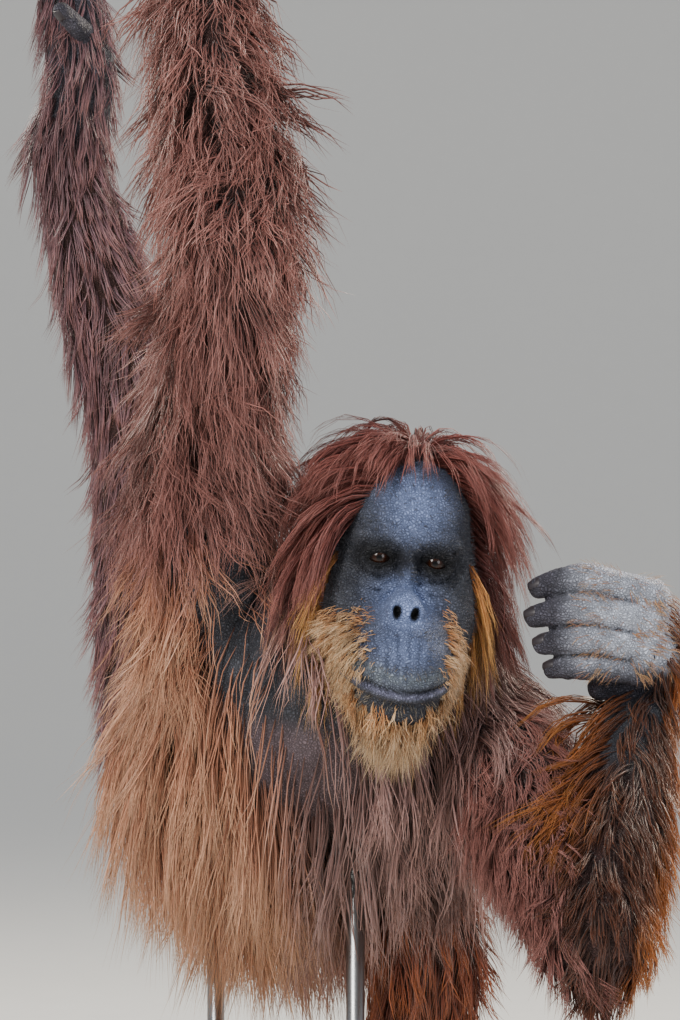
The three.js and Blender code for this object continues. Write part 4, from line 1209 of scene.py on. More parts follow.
def region_coat(name, facts, groups, seed, wider):
    """The tufts of one region: guides are grown along the lie of the hair, the rest follow them,
    and each tuft is taken a little wider at the back."""
    rng = np.random.default_rng(seed)
    roots, normals, along, patch, seen = region_roots(facts, groups, rng)
    flow, inner = region_flow(name, facts, roots, normals, along)
    count, steps = len(roots), facts["steps"]
    is_guide = np.zeros(count, bool)
    is_guide[rng.permutation(count)[:max(count // GUIDE_SHARE, 1)]] = True
    g = np.flatnonzero(is_guide)
    patchy = np.clip(0.5 + 0.6 * value_noise(roots, 42.0, seed + 5), 0, 1)
    side = smoothstep(-0.9, 0.9, normals @ vec((-0.5, 0.4, -0.75)))
    longer = np.clip(0.25 * patchy + 0.75 * side + rng.normal(0, 0.15, count), 0, 1)
    length = mix(*facts["length"], longer) * (1 + 0.3 * inner)
    if name in ("arm_left", "forearm_left"):
        length *= mix(0.62, 1.0, smoothstep(370, 490, roots[:, 2]))
    height = 1.2 + facts["depth"] * rng.random(count) ** 1.25 * (0.45 + 0.75 * patchy)
    lift = facts["lift"] * rng.uniform(0.4, 1.7, count)
    guides = grow(roots[g], normals[g], flow[g], length[g], lift[g], facts["hang"], height[g],
                  ALL_FORMS, rng, swirl=facts["swirl"])
    which = nearest_guides(roots[g], roots)
    lines = follow(guides, roots[g], which, roots, normals, facts["gather"], height,
                   steps, 0.05 * length.mean() * (0.4 + facts["swirl"]), ALL_FORMS, rng)
    lines[:, :, 2] = np.maximum(lines[:, :, 2], BASE_TOP + 2)
    widths = taper(count, steps, facts["width"] * wider, rng) * mix(1.35, 1.0, seen)[:, None]
    lock_tint = rng.random(len(g))[which]
    colours = region_colours(name, facts, roots, normals, inner, lock_tint, seed, rng)
    facing = np.repeat(normals[:, None], steps, 1)
    finish_coat(f"coat_{name}", lines, facing, widths, colours, patch)


# Hair of the head, roots given about the head's own centre

SCALP = HEAD_FORMS[:13]


def head_roots(count, rng, test):
    """Random rays from inside the head that meet its skin where a test on the place allows."""
    middle = vec((0, -5, -10))
    found, total = [], 0
    while total < count:
        ways = unit(rng.normal(size=(count * 3, 3)))
        far = np.full(len(ways), 120.0)
        for _ in range(16):
            d, _ = measure(SCALP, on_head(middle + ways * far[:, None]), 400)
            far -= np.clip(d, -8, 30) * 0.8
        places = middle + ways * far[:, None]
        places = places[test(*places.T)]
        found.append(places)
        total += len(places)
    return np.vstack(found)[:count]


def head_tufts(name, places, flow, length, width, lift, hang, height, colours, seed,
               swirl=0.12, gather=0.5, frizz=2.0, steps=5, rise=2.2):
    """Tufts on the head, which follow guides as the body's do. Colours are those of the root,
    the middle and the tip."""
    rng = np.random.default_rng(seed)
    count = len(places)
    roots = on_head(places)
    normals = measure(SCALP, roots, 60)[1]
    flow = flow @ HEAD_MATRIX.T
    g = rng.permutation(count)[:max(count // GUIDE_SHARE, 1)]
    hang = np.broadcast_to(hang, count)
    guides = grow(roots[g], normals[g], flow[g], length[g], lift[g], hang[g], height[g], SCALP,
                  rng, swirl=swirl, wave=0.05, rise=rise)
    which = nearest_guides(roots[g], roots)
    lines = follow(guides, roots[g], which, roots, normals, gather, height, steps, frizz, SCALP,
                   rng, rise)
    widths = taper(count, steps, width, rng)
    way = unit(places - vec((0, -5, 0)))
    patch = np.stack([0.5 + 0.49 * np.arctan2(way[:, 0], -way[:, 1]) / np.pi,
                      0.5 + 0.49 * way[:, 2]], 1)
    shade = np.exp(rng.normal(0, 0.16, count))[:, None]
    finish_coat(name, lines, np.repeat(normals[:, None], steps, 1), widths,
                tuple(c * shade for c in colours), patch)


def crown_hair(sizes):
    """A cap of long hair that falls to both sides of a parting, fuller round the parting and
    along the hairline."""
    rng = np.random.default_rng(101)
    share = sizes.coat_amount
    places = np.vstack([
        head_roots(int(7000 * share), rng, lambda x, y, z: (
            ((z > hairline(x)) & (z > 30)) | ((y > -22) & (z > -62) & (np.abs(x) > 20)))),
        head_roots(int(2100 * share), rng, lambda x, y, z: (
            (np.hypot(x - 6, y + 10) < 48) & (z > 60) & (z > hairline(x) - 3))),
        head_roots(int(1700 * share), rng, lambda x, y, z: (
            (z > hairline(x) - 3) & (z < hairline(x) + 20) & (z > 30) & (y < 0)))])
    count = len(places)
    x, y, z = places.T
    away = places - vec((6, -10, 118))
    away[:, 2] = -0.35 * np.linalg.norm(away[:, :2], axis=1)
    flow = unit(away)
    front = smoothstep(-5, -45, y) * smoothstep(30, 90, z)
    sweep = unit(np.stack([np.where(x < 14, -1.0, 1.0), 0.22 + 0 * x, -0.30 + 0 * x], 1))
    flow = unit(mix(flow, sweep, front[:, None]))
    length = mix(95, 150, rng.random(count)) * mix(1.0, 0.85, front)
    length *= mix(0.66, 1.0, smoothstep(-60, 60, z))
    length *= mix(1.0, mix(0.5, 1.0, smoothstep(6, 34, np.abs(x - 6))), front)
    sides = smoothstep(70, 20, z) * smoothstep(30, 60, np.abs(x))
    height = (mix(3, mix(25, 31, sides), rng.random(count))
              * mix(1.0, 0.75, front * (1 - sides)))
    tint = np.clip(0.5 + 0.5 * value_noise(places, 26.0, 102) + rng.normal(0, 0.2, count),
                   0, 1)[:, None]
    # Painted shade darkens the tips on top of the crown, to hold back the light from above, and a
    # painted highlight lightens them towards the animal's left side
    top = smoothstep(60, 110, z)[:, None]
    right = 0.5 * smoothstep(35, 60, x)[:, None]
    colours = (mix(COAT_DARK, HEAD_RED, 0.3 + 0.3 * tint),
               mix(COAT_DARK, HEAD_RED, 0.65 + 0.35 * tint),
               mix(HEAD_RED, COAT_ROSE, np.clip(0.2 + 0.55 * tint - 0.2 * top + right, 0, 1)))
    head_tufts("hair_crown", places, flow, length, 1.1 * sizes.tuft_width,
               rng.uniform(0.2, 0.8, count), mix(1.3, 0.75, front), height, colours, 103,
               swirl=0.16, gather=0.4, frizz=2.2, steps=6, rise=4.0)


def side_hair(sizes):
    """Bright strips of straight hair in front of both ears."""
    count = int(2700 * sizes.coat_amount)
    rng = np.random.default_rng(111)
    places = head_roots(count, rng, lambda x, y, z: (
        (np.abs(x) > 50) & (y > -44) & (y < 36) & (z < 16) & (z > -95)))
    x, y, z = places.T
    flow = np.stack([np.sign(x) * 0.12, 0.02 + 0 * x, -1 + 0 * x], 1)
    length = mix(70, 125, rng.random(count))
    height = mix(2, 14, rng.random(count))
    tint = rng.random(count)[:, None]
    colours = (mix(COAT_RED, BEARD_ORANGE, 0.6 * tint), mix(BEARD_ORANGE, SIDE_GOLD, tint),
               mix(SIDE_GOLD, BEARD_GOLD, tint))
    head_tufts("hair_side", places, flow, length, 1.0 * sizes.tuft_width,
               rng.uniform(0.05, 0.25, count), 0.8, height, colours, 112, frizz=3.0)


def golden(tint, dark):
    """Colours of the beard from root to tip, for a tint from 0 to 1 and a share of darkness."""
    shade = 1 - 0.5 * dark
    return (mix(BEARD_ORANGE, BEARD_GOLD, 0.5 * tint) * 0.5 * shade,
            mix(BEARD_ORANGE, BEARD_GOLD, tint) * shade,
            mix(BEARD_GOLD, BEARD_PALE, 0.9 * tint) * mix(1, shade, 0.5))


def beard(sizes):
    """Wavy hair under the chin and down from the corners of the mouth, in uneven locks."""
    count = int(6200 * sizes.coat_amount)
    rng = np.random.default_rng(121)
    places = head_roots(count, rng, lambda x, y, z: (
        ((z < -120) & (y > -140) & (y < 10) & (rng.random(len(x)) < smoothstep(-118, -129, z)))
        | ((z < -92 - 0.25 * (52 - np.abs(x))) & (np.abs(x) > 36) & (y < 10) & (y > -92))))
    x, y, z = places.T
    flow = np.stack([x / 150, -0.22 + 0 * x, -1 + 0 * x], 1)
    uneven = value_noise(places, 16.0, 124)
    length = (mix(46, 84, rng.random(count)) * mix(0.7, 1.0, smoothstep(-90, -140, z))
              * (1 + 0.38 * uneven) * mix(0.4, 1, smoothstep(-118, -136, z)))
    height = mix(1, 13, rng.random(count)) * mix(0.4, 1, smoothstep(-118, -136, z))
    tint = np.clip(rng.random(count) * 0.6 + 0.15 + 0.5 * value_noise(places, 13.0, 122), 0, 1)
    dark = smoothstep(0.0, 0.55, value_noise(places, 9.0, 125))
    head_tufts("beard_chin", places, flow, length, 1.0 * sizes.tuft_width,
               rng.uniform(0.1, 0.4, count), 0.6, height, golden(tint[:, None], dark[:, None]),
               123, swirl=0.42, gather=0.78, frizz=5.0)


def cheek_hair(sizes):
    """Pale hair from the sides of the muzzle over the cheeks, short at its inner edge."""
    count = int(5200 * sizes.coat_amount)
    rng = np.random.default_rng(131)

    def below(x, z):
        """How far a place is below the upper edge of the hair, which falls away outwards."""
        return np.where(x < 0, -36 - 0.4 * (-x - 25), -44 - 1.7 * (x - 46)) - z

    places = head_roots(count, rng, lambda x, y, z: (
        (rng.random(len(x)) < smoothstep(-6, 16, np.abs(x) - np.where(x < 0, 30, 36))
         * smoothstep(-12, 28, below(x, z))) & (np.abs(x) < 82) & (y < -20) & (z > -112)))
    x, y, z = places.T
    flow = np.stack([np.sign(x) * 1.0, 0.3 + 0 * x, mix(-0.25, -1.3, smoothstep(-60, -105, z))], 1)
    inner = smoothstep(-2, 26, np.abs(x) - np.where(x < 0, 30, 36))
    upper = smoothstep(-6, 26, below(x, z))
    length = mix(22, 46, rng.random(count)) * mix(0.35, 1.0, inner) * mix(0.45, 1.0, upper)
    height = mix(0.5, 5, rng.random(count)) * mix(0.4, 1.0, inner)
    tint = np.clip(rng.random(count) * 0.6 + 0.3 + 0.45 * value_noise(places, 10.0, 132)
                   - 0.35 * smoothstep(-75, -48, z), 0, 1)
    dark = smoothstep(0.05, 0.6, value_noise(places, 7.0, 135))
    head_tufts("beard_cheeks", places, flow, length, 0.8 * sizes.tuft_width,
               rng.uniform(0.05, 0.3, count), 0.45, height,
               golden(tint[:, None], dark[:, None]), 133, swirl=0.5, gather=0.2, frizz=2.0,
               steps=4)


def face_fuzz(sizes):
    """Very short hair on the brow, cheeks, lips and chin, left out round the eyes and nose."""
    count = int(5200 * sizes.coat_amount)
    rng = np.random.default_rng(141)

    def allowed(x, y, z):
        eye = np.hypot((np.abs(x) - EYE_SPACING / 2) / 1.4, z - 6)
        nose = np.hypot(x / 24, (z + 38) / 24)
        return ((y < -8) & (z > -140) & (z < 98) & (eye > 17) & (nose > 1)
                & (rng.random(len(x)) < mix(0.35, 1.0, smoothstep(-84, -96, z))))

    places = head_roots(count, rng, allowed)
    x, y, z = places.T
    low = smoothstep(-84, -100, z)
    flow = np.stack([np.sign(x) * mix(1.0, 0.4, low), 0.4 + 0 * x, mix(0.35, -1.0, low)], 1)
    chin = smoothstep(-116, -130, z)
    length = mix(4, 8, rng.random(count)) * mix(1.0, 2.6, chin)
    height = mix(0.3, 1.2, rng.random(count))
    tint = np.clip(0.2 + 0.6 * rng.random(count) + 0.3 * low, 0, 1)[:, None]
    pale = mix(FUZZ_GREY, BEARD_PALE * 0.62, low[:, None])
    colours = (mix(SKIN_DARK, pale, 0.2 * tint), mix(SKIN_DARK, pale, 0.45 * tint), pale * tint)
    head_tufts("fuzz_face", places, flow, length, 0.5 * sizes.tuft_width,
               rng.uniform(0.1, 0.5, count), 0.2, height, colours, 143, swirl=0.5, gather=0.2,
               frizz=0.3, steps=3)


def hand_hair(sizes):
    """Sparse short hair on the back of the left hand and its first finger joints."""
    rng = np.random.default_rng(151)
    forms = [PALMS["left_hand"], *DIGITS["left_hand"][:4]]
    roots, along = [], []
    for form in forms:
        count = int((900 if form is forms[0] else 260) * sizes.coat_amount)
        i = rng.integers(0, len(form.centre), count)
        if form is not forms[0]:
            i = (i * 0.55).astype(int)
        a = rng.uniform(0, 2 * np.pi, count)
        side = np.cos(a)[:, None] * form.across[i] + np.sin(a)[:, None] * form.over[i]
        roots.append(form.centre[i] + form.along[i] * rng.normal(0, 5, (count, 1))
                     + side * form.size[i].mean(1)[:, None])
        along.append(form.along[i])
    roots, along = np.vstack(roots), np.vstack(along)
    roots = settle(roots, forms, 4)
    normals = measure(forms, roots)[1]
    keep = (normals[:, 1] < 0.2) & (roots[:, 2] > 600)
    roots, normals, along = roots[keep], normals[keep], along[keep]
    count = len(roots)
    flow = unit(along * np.where(roots[:, :1] > 290, -1.0, 1.0) + (-0.3, 0, -0.35))
    length = rng.uniform(9, 20, count)
    lines = grow(roots, normals, flow, length, rng.uniform(0.05, 0.35, count), 0.3,
                 rng.uniform(0.4, 2.0, count), forms, rng, steps=4, swirl=0.4)
    tint = rng.random(count)[:, None]
    pale = mix(COAT_FLANK, BEARD_GOLD, tint)
    cell = ATLAS["left_hand_palm"]
    patch = np.stack([(cell % 4 + rng.random(count)) / 4, (cell // 4 + rng.random(count)) / 4], 1)
    widths = taper(count, 4, 0.55 * sizes.tuft_width, rng)
    finish_coat("fuzz_hand", lines, np.repeat(normals[:, None], 4, 1), widths,
                (pale * 0.5, pale * 0.7, pale), patch)


# Materials


def node_material(name):
    """A material and its node tree, or no tree where it was made before."""
    material = bpy.data.materials.get(name)
    if material:
        return material, None
    material = bpy.data.materials.new(name)
    material.use_nodes = True
    return material, material.node_tree


def group_of(name, inputs, outputs, build):
    """A shader node group with named sockets, made once."""
    group = bpy.data.node_groups.get(name)
    if group:
        return group
    group = bpy.data.node_groups.new(name, "ShaderNodeTree")
    for label, kind, default in inputs:
        socket = group.interface.new_socket(label, in_out="INPUT", socket_type=kind)
        if default is not None:
            socket.default_value = default
    for label, kind in outputs:
        group.interface.new_socket(label, in_out="OUTPUT", socket_type=kind)
    start = group.nodes.new("NodeGroupInput")
    end = group.nodes.new("NodeGroupOutput")
    build(group, start, end)
    return group


def add(tree, kind, **values):
    """A new shader node with its settings."""
    node = tree.nodes.new(kind)
    for key, value in values.items():
        setattr(node, key, value)
    return node


def mottle_group():
    """Light and dark mottling of a colour, and a matching roughness, from two noises."""
    def build(group, start, end):
        coords = add(group, "ShaderNodeTexCoord")
        broad = add(group, "ShaderNodeTexNoise")
        fine = add(group, "ShaderNodeTexNoise")
        spread = add(group, "ShaderNodeMath", operation="MULTIPLY_ADD")
        for node, label in ((broad, "Broad scale"), (fine, "Fine scale")):
            group.links.new(coords.outputs["Object"], node.inputs["Vector"])
            group.links.new(start.outputs[label], node.inputs["Scale"])
            node.inputs["Detail"].default_value = 4
        total = add(group, "ShaderNodeMath", operation="ADD")
        group.links.new(broad.outputs["Fac"], total.inputs[0])
        group.links.new(fine.outputs["Fac"], total.inputs[1])
        centred = add(group, "ShaderNodeMath", operation="SUBTRACT")
        centred.inputs[1].default_value = 1.0
        group.links.new(total.outputs[0], centred.inputs[0])
        group.links.new(centred.outputs[0], spread.inputs[0])
        group.links.new(start.outputs["Amount"], spread.inputs[1])
        spread.inputs[2].default_value = 1.0
        tinted = add(group, "ShaderNodeVectorMath", operation="SCALE")
        group.links.new(start.outputs["Color"], tinted.inputs[0])
        group.links.new(spread.outputs[0], tinted.inputs["Scale"])
        group.links.new(tinted.outputs[0], end.inputs["Color"])
        rough = add(group, "ShaderNodeMath", operation="MULTIPLY_ADD")
        group.links.new(centred.outputs[0], rough.inputs[0])
        rough.inputs[1].default_value = 0.25
        group.links.new(start.outputs["Roughness"], rough.inputs[2])
        group.links.new(rough.outputs[0], end.inputs["Roughness"])

    return group_of(
        "mottle",
        [("Color", "NodeSocketColor", None), ("Amount", "NodeSocketFloat", 0.4),
         ("Roughness", "NodeSocketFloat", 0.5), ("Broad scale", "NodeSocketFloat", 20.0),
         ("Fine scale", "NodeSocketFloat", 160.0)],
        [("Color", "NodeSocketColor"), ("Roughness", "NodeSocketFloat")], build)


def hide_group():
    """Wrinkled hide: cells of cracked skin over fine grain, as a height and as a colour with
    painted shade in the cracks and painted light on the cells between them."""
    def build(group, start, end):
        coords = add(group, "ShaderNodeTexCoord")
        warp = add(group, "ShaderNodeTexNoise")
        warp.inputs["Scale"].default_value = 90
        shifted = add(group, "ShaderNodeVectorMath", operation="MULTIPLY_ADD")
        shifted.inputs[1].default_value = (0.008, 0.008, 0.008)
        group.links.new(coords.outputs["Object"], warp.inputs["Vector"])
        group.links.new(warp.outputs["Color"], shifted.inputs[0])
        group.links.new(coords.outputs["Object"], shifted.inputs[2])
        cells = add(group, "ShaderNodeTexVoronoi", feature="DISTANCE_TO_EDGE")
        grain = add(group, "ShaderNodeTexNoise")
        group.links.new(shifted.outputs[0], cells.inputs["Vector"])
        group.links.new(start.outputs["Cell scale"], cells.inputs["Scale"])
        group.links.new(coords.outputs["Object"], grain.inputs["Vector"])
        group.links.new(start.outputs["Grain scale"], grain.inputs["Scale"])
        ramp = add(group, "ShaderNodeMath", operation="MULTIPLY", use_clamp=True)
        ramp.inputs[1].default_value = 3.2
        group.links.new(cells.outputs["Distance"], ramp.inputs[0])
        total = add(group, "ShaderNodeMath", operation="MULTIPLY_ADD")
        total.inputs[1].default_value = 0.6
        group.links.new(grain.outputs["Fac"], total.inputs[0])
        group.links.new(ramp.outputs[0], total.inputs[2])
        group.links.new(total.outputs[0], end.inputs["Height"])
        # Painted shade and light: the colour is scaled down in the cracks and up on the cells, by
        # the strength set on the group
        cut = add(group, "ShaderNodeMath", operation="SUBTRACT")
        cut.inputs[0].default_value = 1.05
        group.links.new(start.outputs["Crack shade"], cut.inputs[1])
        light = add(group, "ShaderNodeMath", operation="MULTIPLY_ADD")
        group.links.new(total.outputs[0], light.inputs[0])
        group.links.new(start.outputs["Crack shade"], light.inputs[1])
        group.links.new(cut.outputs[0], light.inputs[2])
        shaded = add(group, "ShaderNodeVectorMath", operation="SCALE")
        group.links.new(start.outputs["Color"], shaded.inputs[0])
        group.links.new(light.outputs[0], shaded.inputs["Scale"])
        group.links.new(shaded.outputs[0], end.inputs["Color"])

    return group_of(
        "hide",
        [("Color", "NodeSocketColor", None), ("Cell scale", "NodeSocketFloat", 340.0),
         ("Grain scale", "NodeSocketFloat", 900.0), ("Crack shade", "NodeSocketFloat", 0.65)],
        [("Color", "NodeSocketColor"), ("Height", "NodeSocketFloat")], build)


def grain_group():
    """Wood grain: rings drawn out along one axis, as a mask and a height."""
    def build(group, start, end):
        coords = add(group, "ShaderNodeTexCoord")
        stretch = add(group, "ShaderNodeVectorMath", operation="MULTIPLY")
        group.links.new(coords.outputs["Object"], stretch.inputs[0])
        group.links.new(start.outputs["Stretch"], stretch.inputs[1])
        noise = add(group, "ShaderNodeTexNoise")
        noise.inputs["Detail"].default_value = 6
        noise.inputs["Distortion"].default_value = 0.6
        group.links.new(stretch.outputs[0], noise.inputs["Vector"])
        group.links.new(start.outputs["Scale"], noise.inputs["Scale"])
        colour = add(group, "ShaderNodeMix", data_type="RGBA")
        group.links.new(noise.outputs["Fac"], colour.inputs["Factor"])
        group.links.new(start.outputs["Dark"], colour.inputs["A"])
        group.links.new(start.outputs["Light"], colour.inputs["B"])
        group.links.new(colour.outputs["Result"], end.inputs["Color"])
        group.links.new(noise.outputs["Fac"], end.inputs["Height"])

    return group_of(
        "grain",
        [("Dark", "NodeSocketColor", None), ("Light", "NodeSocketColor", None),
         ("Stretch", "NodeSocketVector", (1, 1, 1)), ("Scale", "NodeSocketFloat", 8.0)],
        [("Color", "NodeSocketColor"), ("Height", "NodeSocketFloat")], build)


def bump_into(tree, source, strength, distance):
    """Feeds a height into the shader's normal."""
    bump = add(tree, "ShaderNodeBump")
    bump.inputs["Strength"].default_value = strength
    bump.inputs["Distance"].default_value = distance
    tree.links.new(source, bump.inputs["Height"])
    tree.links.new(bump.outputs[0], tree.nodes["Principled BSDF"].inputs["Normal"])


def mottled(tree, source, amount, roughness, broad, fine):
    """Feeds a mottled colour and roughness into the shader and gives the shader back."""
    group = add(tree, "ShaderNodeGroup")
    group.node_tree = mottle_group()
    tree.links.new(source, group.inputs["Color"])
    for label, value in (("Amount", amount), ("Roughness", roughness), ("Broad scale", broad),
                         ("Fine scale", fine)):
        group.inputs[label].default_value = value
    shader = tree.nodes["Principled BSDF"]
    tree.links.new(group.outputs["Color"], shader.inputs["Base Color"])
    tree.links.new(group.outputs["Roughness"], shader.inputs["Roughness"])
    return shader


def skin_material():
    material, tree = node_material("wrinkled_skin")
    if tree:
        tone = add(tree, "ShaderNodeAttribute", attribute_name="tone")
        hide = add(tree, "ShaderNodeGroup")
        hide.node_tree = hide_group()
        tree.links.new(tone.outputs["Color"], hide.inputs["Color"])
        shader = mottled(tree, hide.outputs["Color"], 0.45, 0.56, 30, 300)
        shader.inputs["Specular IOR Level"].default_value = 0.36
        bump_into(tree, hide.outputs["Height"], 1.0, 0.0017)
    return material


def coat_material():
    material, tree = node_material("long_coat")
    if tree:
        tone = add(tree, "ShaderNodeAttribute", attribute_name="tone")
        shader = mottled(tree, tone.outputs["Color"], 0.35, 0.42, 14, 220)
        shader.inputs["Specular IOR Level"].default_value = 0.36
        shader.inputs["Anisotropic"].default_value = 0.3
        shader.inputs["Sheen Weight"].default_value = 0.15
        shader.inputs["Sheen Roughness"].default_value = 0.4
    return material


def eye_material():
    """A dark brown eye: rings of colour by the distance from its front pole."""
    material, tree = node_material("eyeball_gloss")
    if tree:
        tone = add(tree, "ShaderNodeAttribute", attribute_name="tone")
        shader = mottled(tree, tone.outputs["Color"], 0.35, 0.16, 60, 500)
        shader.inputs["Specular IOR Level"].default_value = 0.25
        shader.inputs["Coat Weight"].default_value = 0.22
        shader.inputs["Coat Roughness"].default_value = 0.03
    return material


def nail_material():
    material, tree = node_material("dark_nail")
    if tree:
        shade = add(tree, "ShaderNodeRGB")
        shade.outputs[0].default_value = (*linear("353034"), 1)
        mottled(tree, shade.outputs[0], 0.7, 0.42, 40, 260)
    return material


def wood_material(name, dark, light, stretch, scale, roughness, strength, distance):
    material, tree = node_material(name)
    if tree:
        group = add(tree, "ShaderNodeGroup")
        group.node_tree = grain_group()
        group.inputs["Dark"].default_value = (*dark, 1)
        group.inputs["Light"].default_value = (*light, 1)
        group.inputs["Stretch"].default_value = stretch
        group.inputs["Scale"].default_value = scale
        mottled(tree, group.outputs["Color"], 0.3, roughness, 12, 90)
        bump_into(tree, group.outputs["Height"], strength, distance)
    return material


def steel_material():
    material, tree = node_material("brushed_steel")
    if tree:
        shade = add(tree, "ShaderNodeRGB")
        shade.outputs[0].default_value = (*linear("a3a4a4"), 1)
        shader = mottled(tree, shade.outputs[0], 0.25, 0.33, 30, 700)
        shader.inputs["Metallic"].default_value = 1.0
    return material


# Eyes, nails, branch and stand


def build_eye(name, way):
    """A ball whose front bulges as a cornea; colour changes with the angle from its front."""
    rows = np.linspace(0, np.pi, 40)[1:-1]
    around = np.linspace(0, 2 * np.pi, 48, endpoint=False)
    p, a = np.meshgrid(rows, around, indexing="ij")
    gaze = turned("z", np.radians(-4)) @ turned("x", np.radians(2))
    bulge = 1 + 0.05 * np.exp(-((p / 0.45) ** 4))
    r = (EYE_RADIUS - 0.3) * bulge
    ball = np.stack([np.sin(p) * np.cos(a), -np.cos(p), np.sin(p) * np.sin(a)], -1) * r[..., None]
    reach = EYE_RADIUS - 0.3
    ends = np.array([[0, -reach * 1.05, 0], [0, reach, 0]])
    centre = on_head(eye_centre(way))
    matrix = (HEAD_MATRIX @ gaze).T
    points, faces = capped_grid(ball @ matrix, ends[0] @ matrix, ends[1] @ matrix)
    obj = new_object(name, points + centre, faces)
    angle = np.concatenate([p.ravel(), [0, np.pi]])
    swirl = np.concatenate([a.ravel(), [0, 0]])
    rays = 0.5 + 0.5 * np.sin(swirl * 23 + 3 * np.sin(swirl * 5))
    iris = mix(linear("32180b"), linear("170a05"), rays[:, None] * 0.7)
    rim = linear("1a110e")
    colour = mix(iris, rim, smoothstep(0.52, 0.6, angle)[:, None])
    colour = mix(colour, linear("160c08"), (np.exp(-((angle - 0.55) / 0.06) ** 2))[:, None] * 0.8)
    colour = mix(linear("040303"), colour, smoothstep(0.2, 0.26, angle)[:, None])
    set_colours(obj, "tone", colour)
    obj.data.materials.append(eye_material())
    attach(obj, "root")
    return obj


def nail_grid(tip, along, up, length, width):
    """A nail: a shallow shell curved across and along, closed by its own underside."""
    u = np.linspace(-1, 1, 9)
    v = np.linspace(0, 1, 8)
    vv, uu = np.meshgrid(v, u, indexing="ij")
    side = np.cross(along, up)
    narrow = np.sqrt(np.clip(1 - (uu * 0.55) ** 2, 0, 1)) * (1 - 0.25 * vv**3)
    top = (tip + (vv * length)[..., None] * along + (uu * narrow * width / 2)[..., None] * side
           + ((1 - uu**2) * 2.2 - vv**2 * 2.6)[..., None] * up)
    under = top - up * 1.3
    grid = np.concatenate([top, under[:, ::-1]], axis=1)
    return capped_grid(grid, grid[0].mean(0), grid[-1].mean(0))


def build_nails():
    """A nail on every digit, where the digit's back meets its tip."""
    pieces = []
    for name, digits in DIGITS.items():
        for i, digit in enumerate(digits[:5]):
            end = digit.centre[-1]
            along = digit.along[-1]
            radius = digit.size[-1].min()
            if name.startswith("right"):
                hub = vec(HAND_GRIP if "hand" in name else FOOT_GRIP)
                outward = end - hub
                outward = unit(outward - dot(outward, PERCH_AXIS) * PERCH_AXIS)
                if i == 4:
                    outward = unit(np.cross(along, PERCH_AXIS))
            elif name == "left_hand":
                outward = unit(vec((0.1, -0.75, 0.65)) if i < 4 else vec((0, 0.2, 1)))
            else:
                outward = vec((0, 0, 1.0))
            up = unit(outward - dot(outward, along) * along)
            start = end + up * (radius * 0.88) - along * radius * 0.5
            pieces.append(nail_grid(start, along, up, radius * 1.35, radius * 1.35))
    obj = new_object("nails", *joined(pieces))
    fix_normals(obj)
    obj.data.materials.append(nail_material())
    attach(obj, "root")


def fix_normals(obj):
    """Turns every face outwards."""
    mesh = bmesh.new()
    mesh.from_mesh(obj.data)
    bmesh.ops.recalc_face_normals(mesh, faces=mesh.faces)
    mesh.to_mesh(obj.data)
    mesh.free()


def build_perch():
    """The branch: a round bar along its axis, its radius broken by ridges of bark that run
    along it, with flat sawn ends."""
    length = np.linalg.norm(vec(PERCH_BACK) - vec(PERCH_FRONT))
    s = np.linspace(0, 1, 150)
    a = np.linspace(0, 2 * np.pi, 96, endpoint=False)
    ss, aa = np.meshgrid(s, a, indexing="ij")
    side = unit(np.cross(PERCH_AXIS, (0, 0, 1.0)))
    up = np.cross(side, PERCH_AXIS)
    flat = np.stack([np.cos(aa) * 26, np.sin(aa) * 26, ss * length * 0.28], -1).reshape(-1, 3)
    ridges = value_noise(flat, 7.0, 41) * 0.9 + value_noise(flat, 3.2, 42) * 0.5
    knots = value_noise(flat * (1, 1, 0.6), 20.0, 43) * 0.8
    r = PERCH_RADIUS - 0.9 + (ridges + knots).reshape(ss.shape).clip(-2.2, 1.2)
    r = np.where((ss < 0.004) | (ss > 0.996), PERCH_RADIUS - 1.6, r)
    grid = (vec(PERCH_FRONT) + PERCH_AXIS * (ss * length)[..., None]
            + side * (np.cos(aa) * r)[..., None] + up * (np.sin(aa) * r)[..., None])
    points, faces = capped_grid(grid, vec(PERCH_FRONT), vec(PERCH_BACK))
    obj = new_object("perch_bark", points, faces)
    fix_normals(obj)
    obj.data.materials.append(wood_material(
        "bark_ridges", linear("4b3a2a"), linear("9a8468"), (1.0, 0.8, 2.0), 22, 0.8, 0.8, 0.002))
    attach(obj, "root")
    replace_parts(obj, "perch")


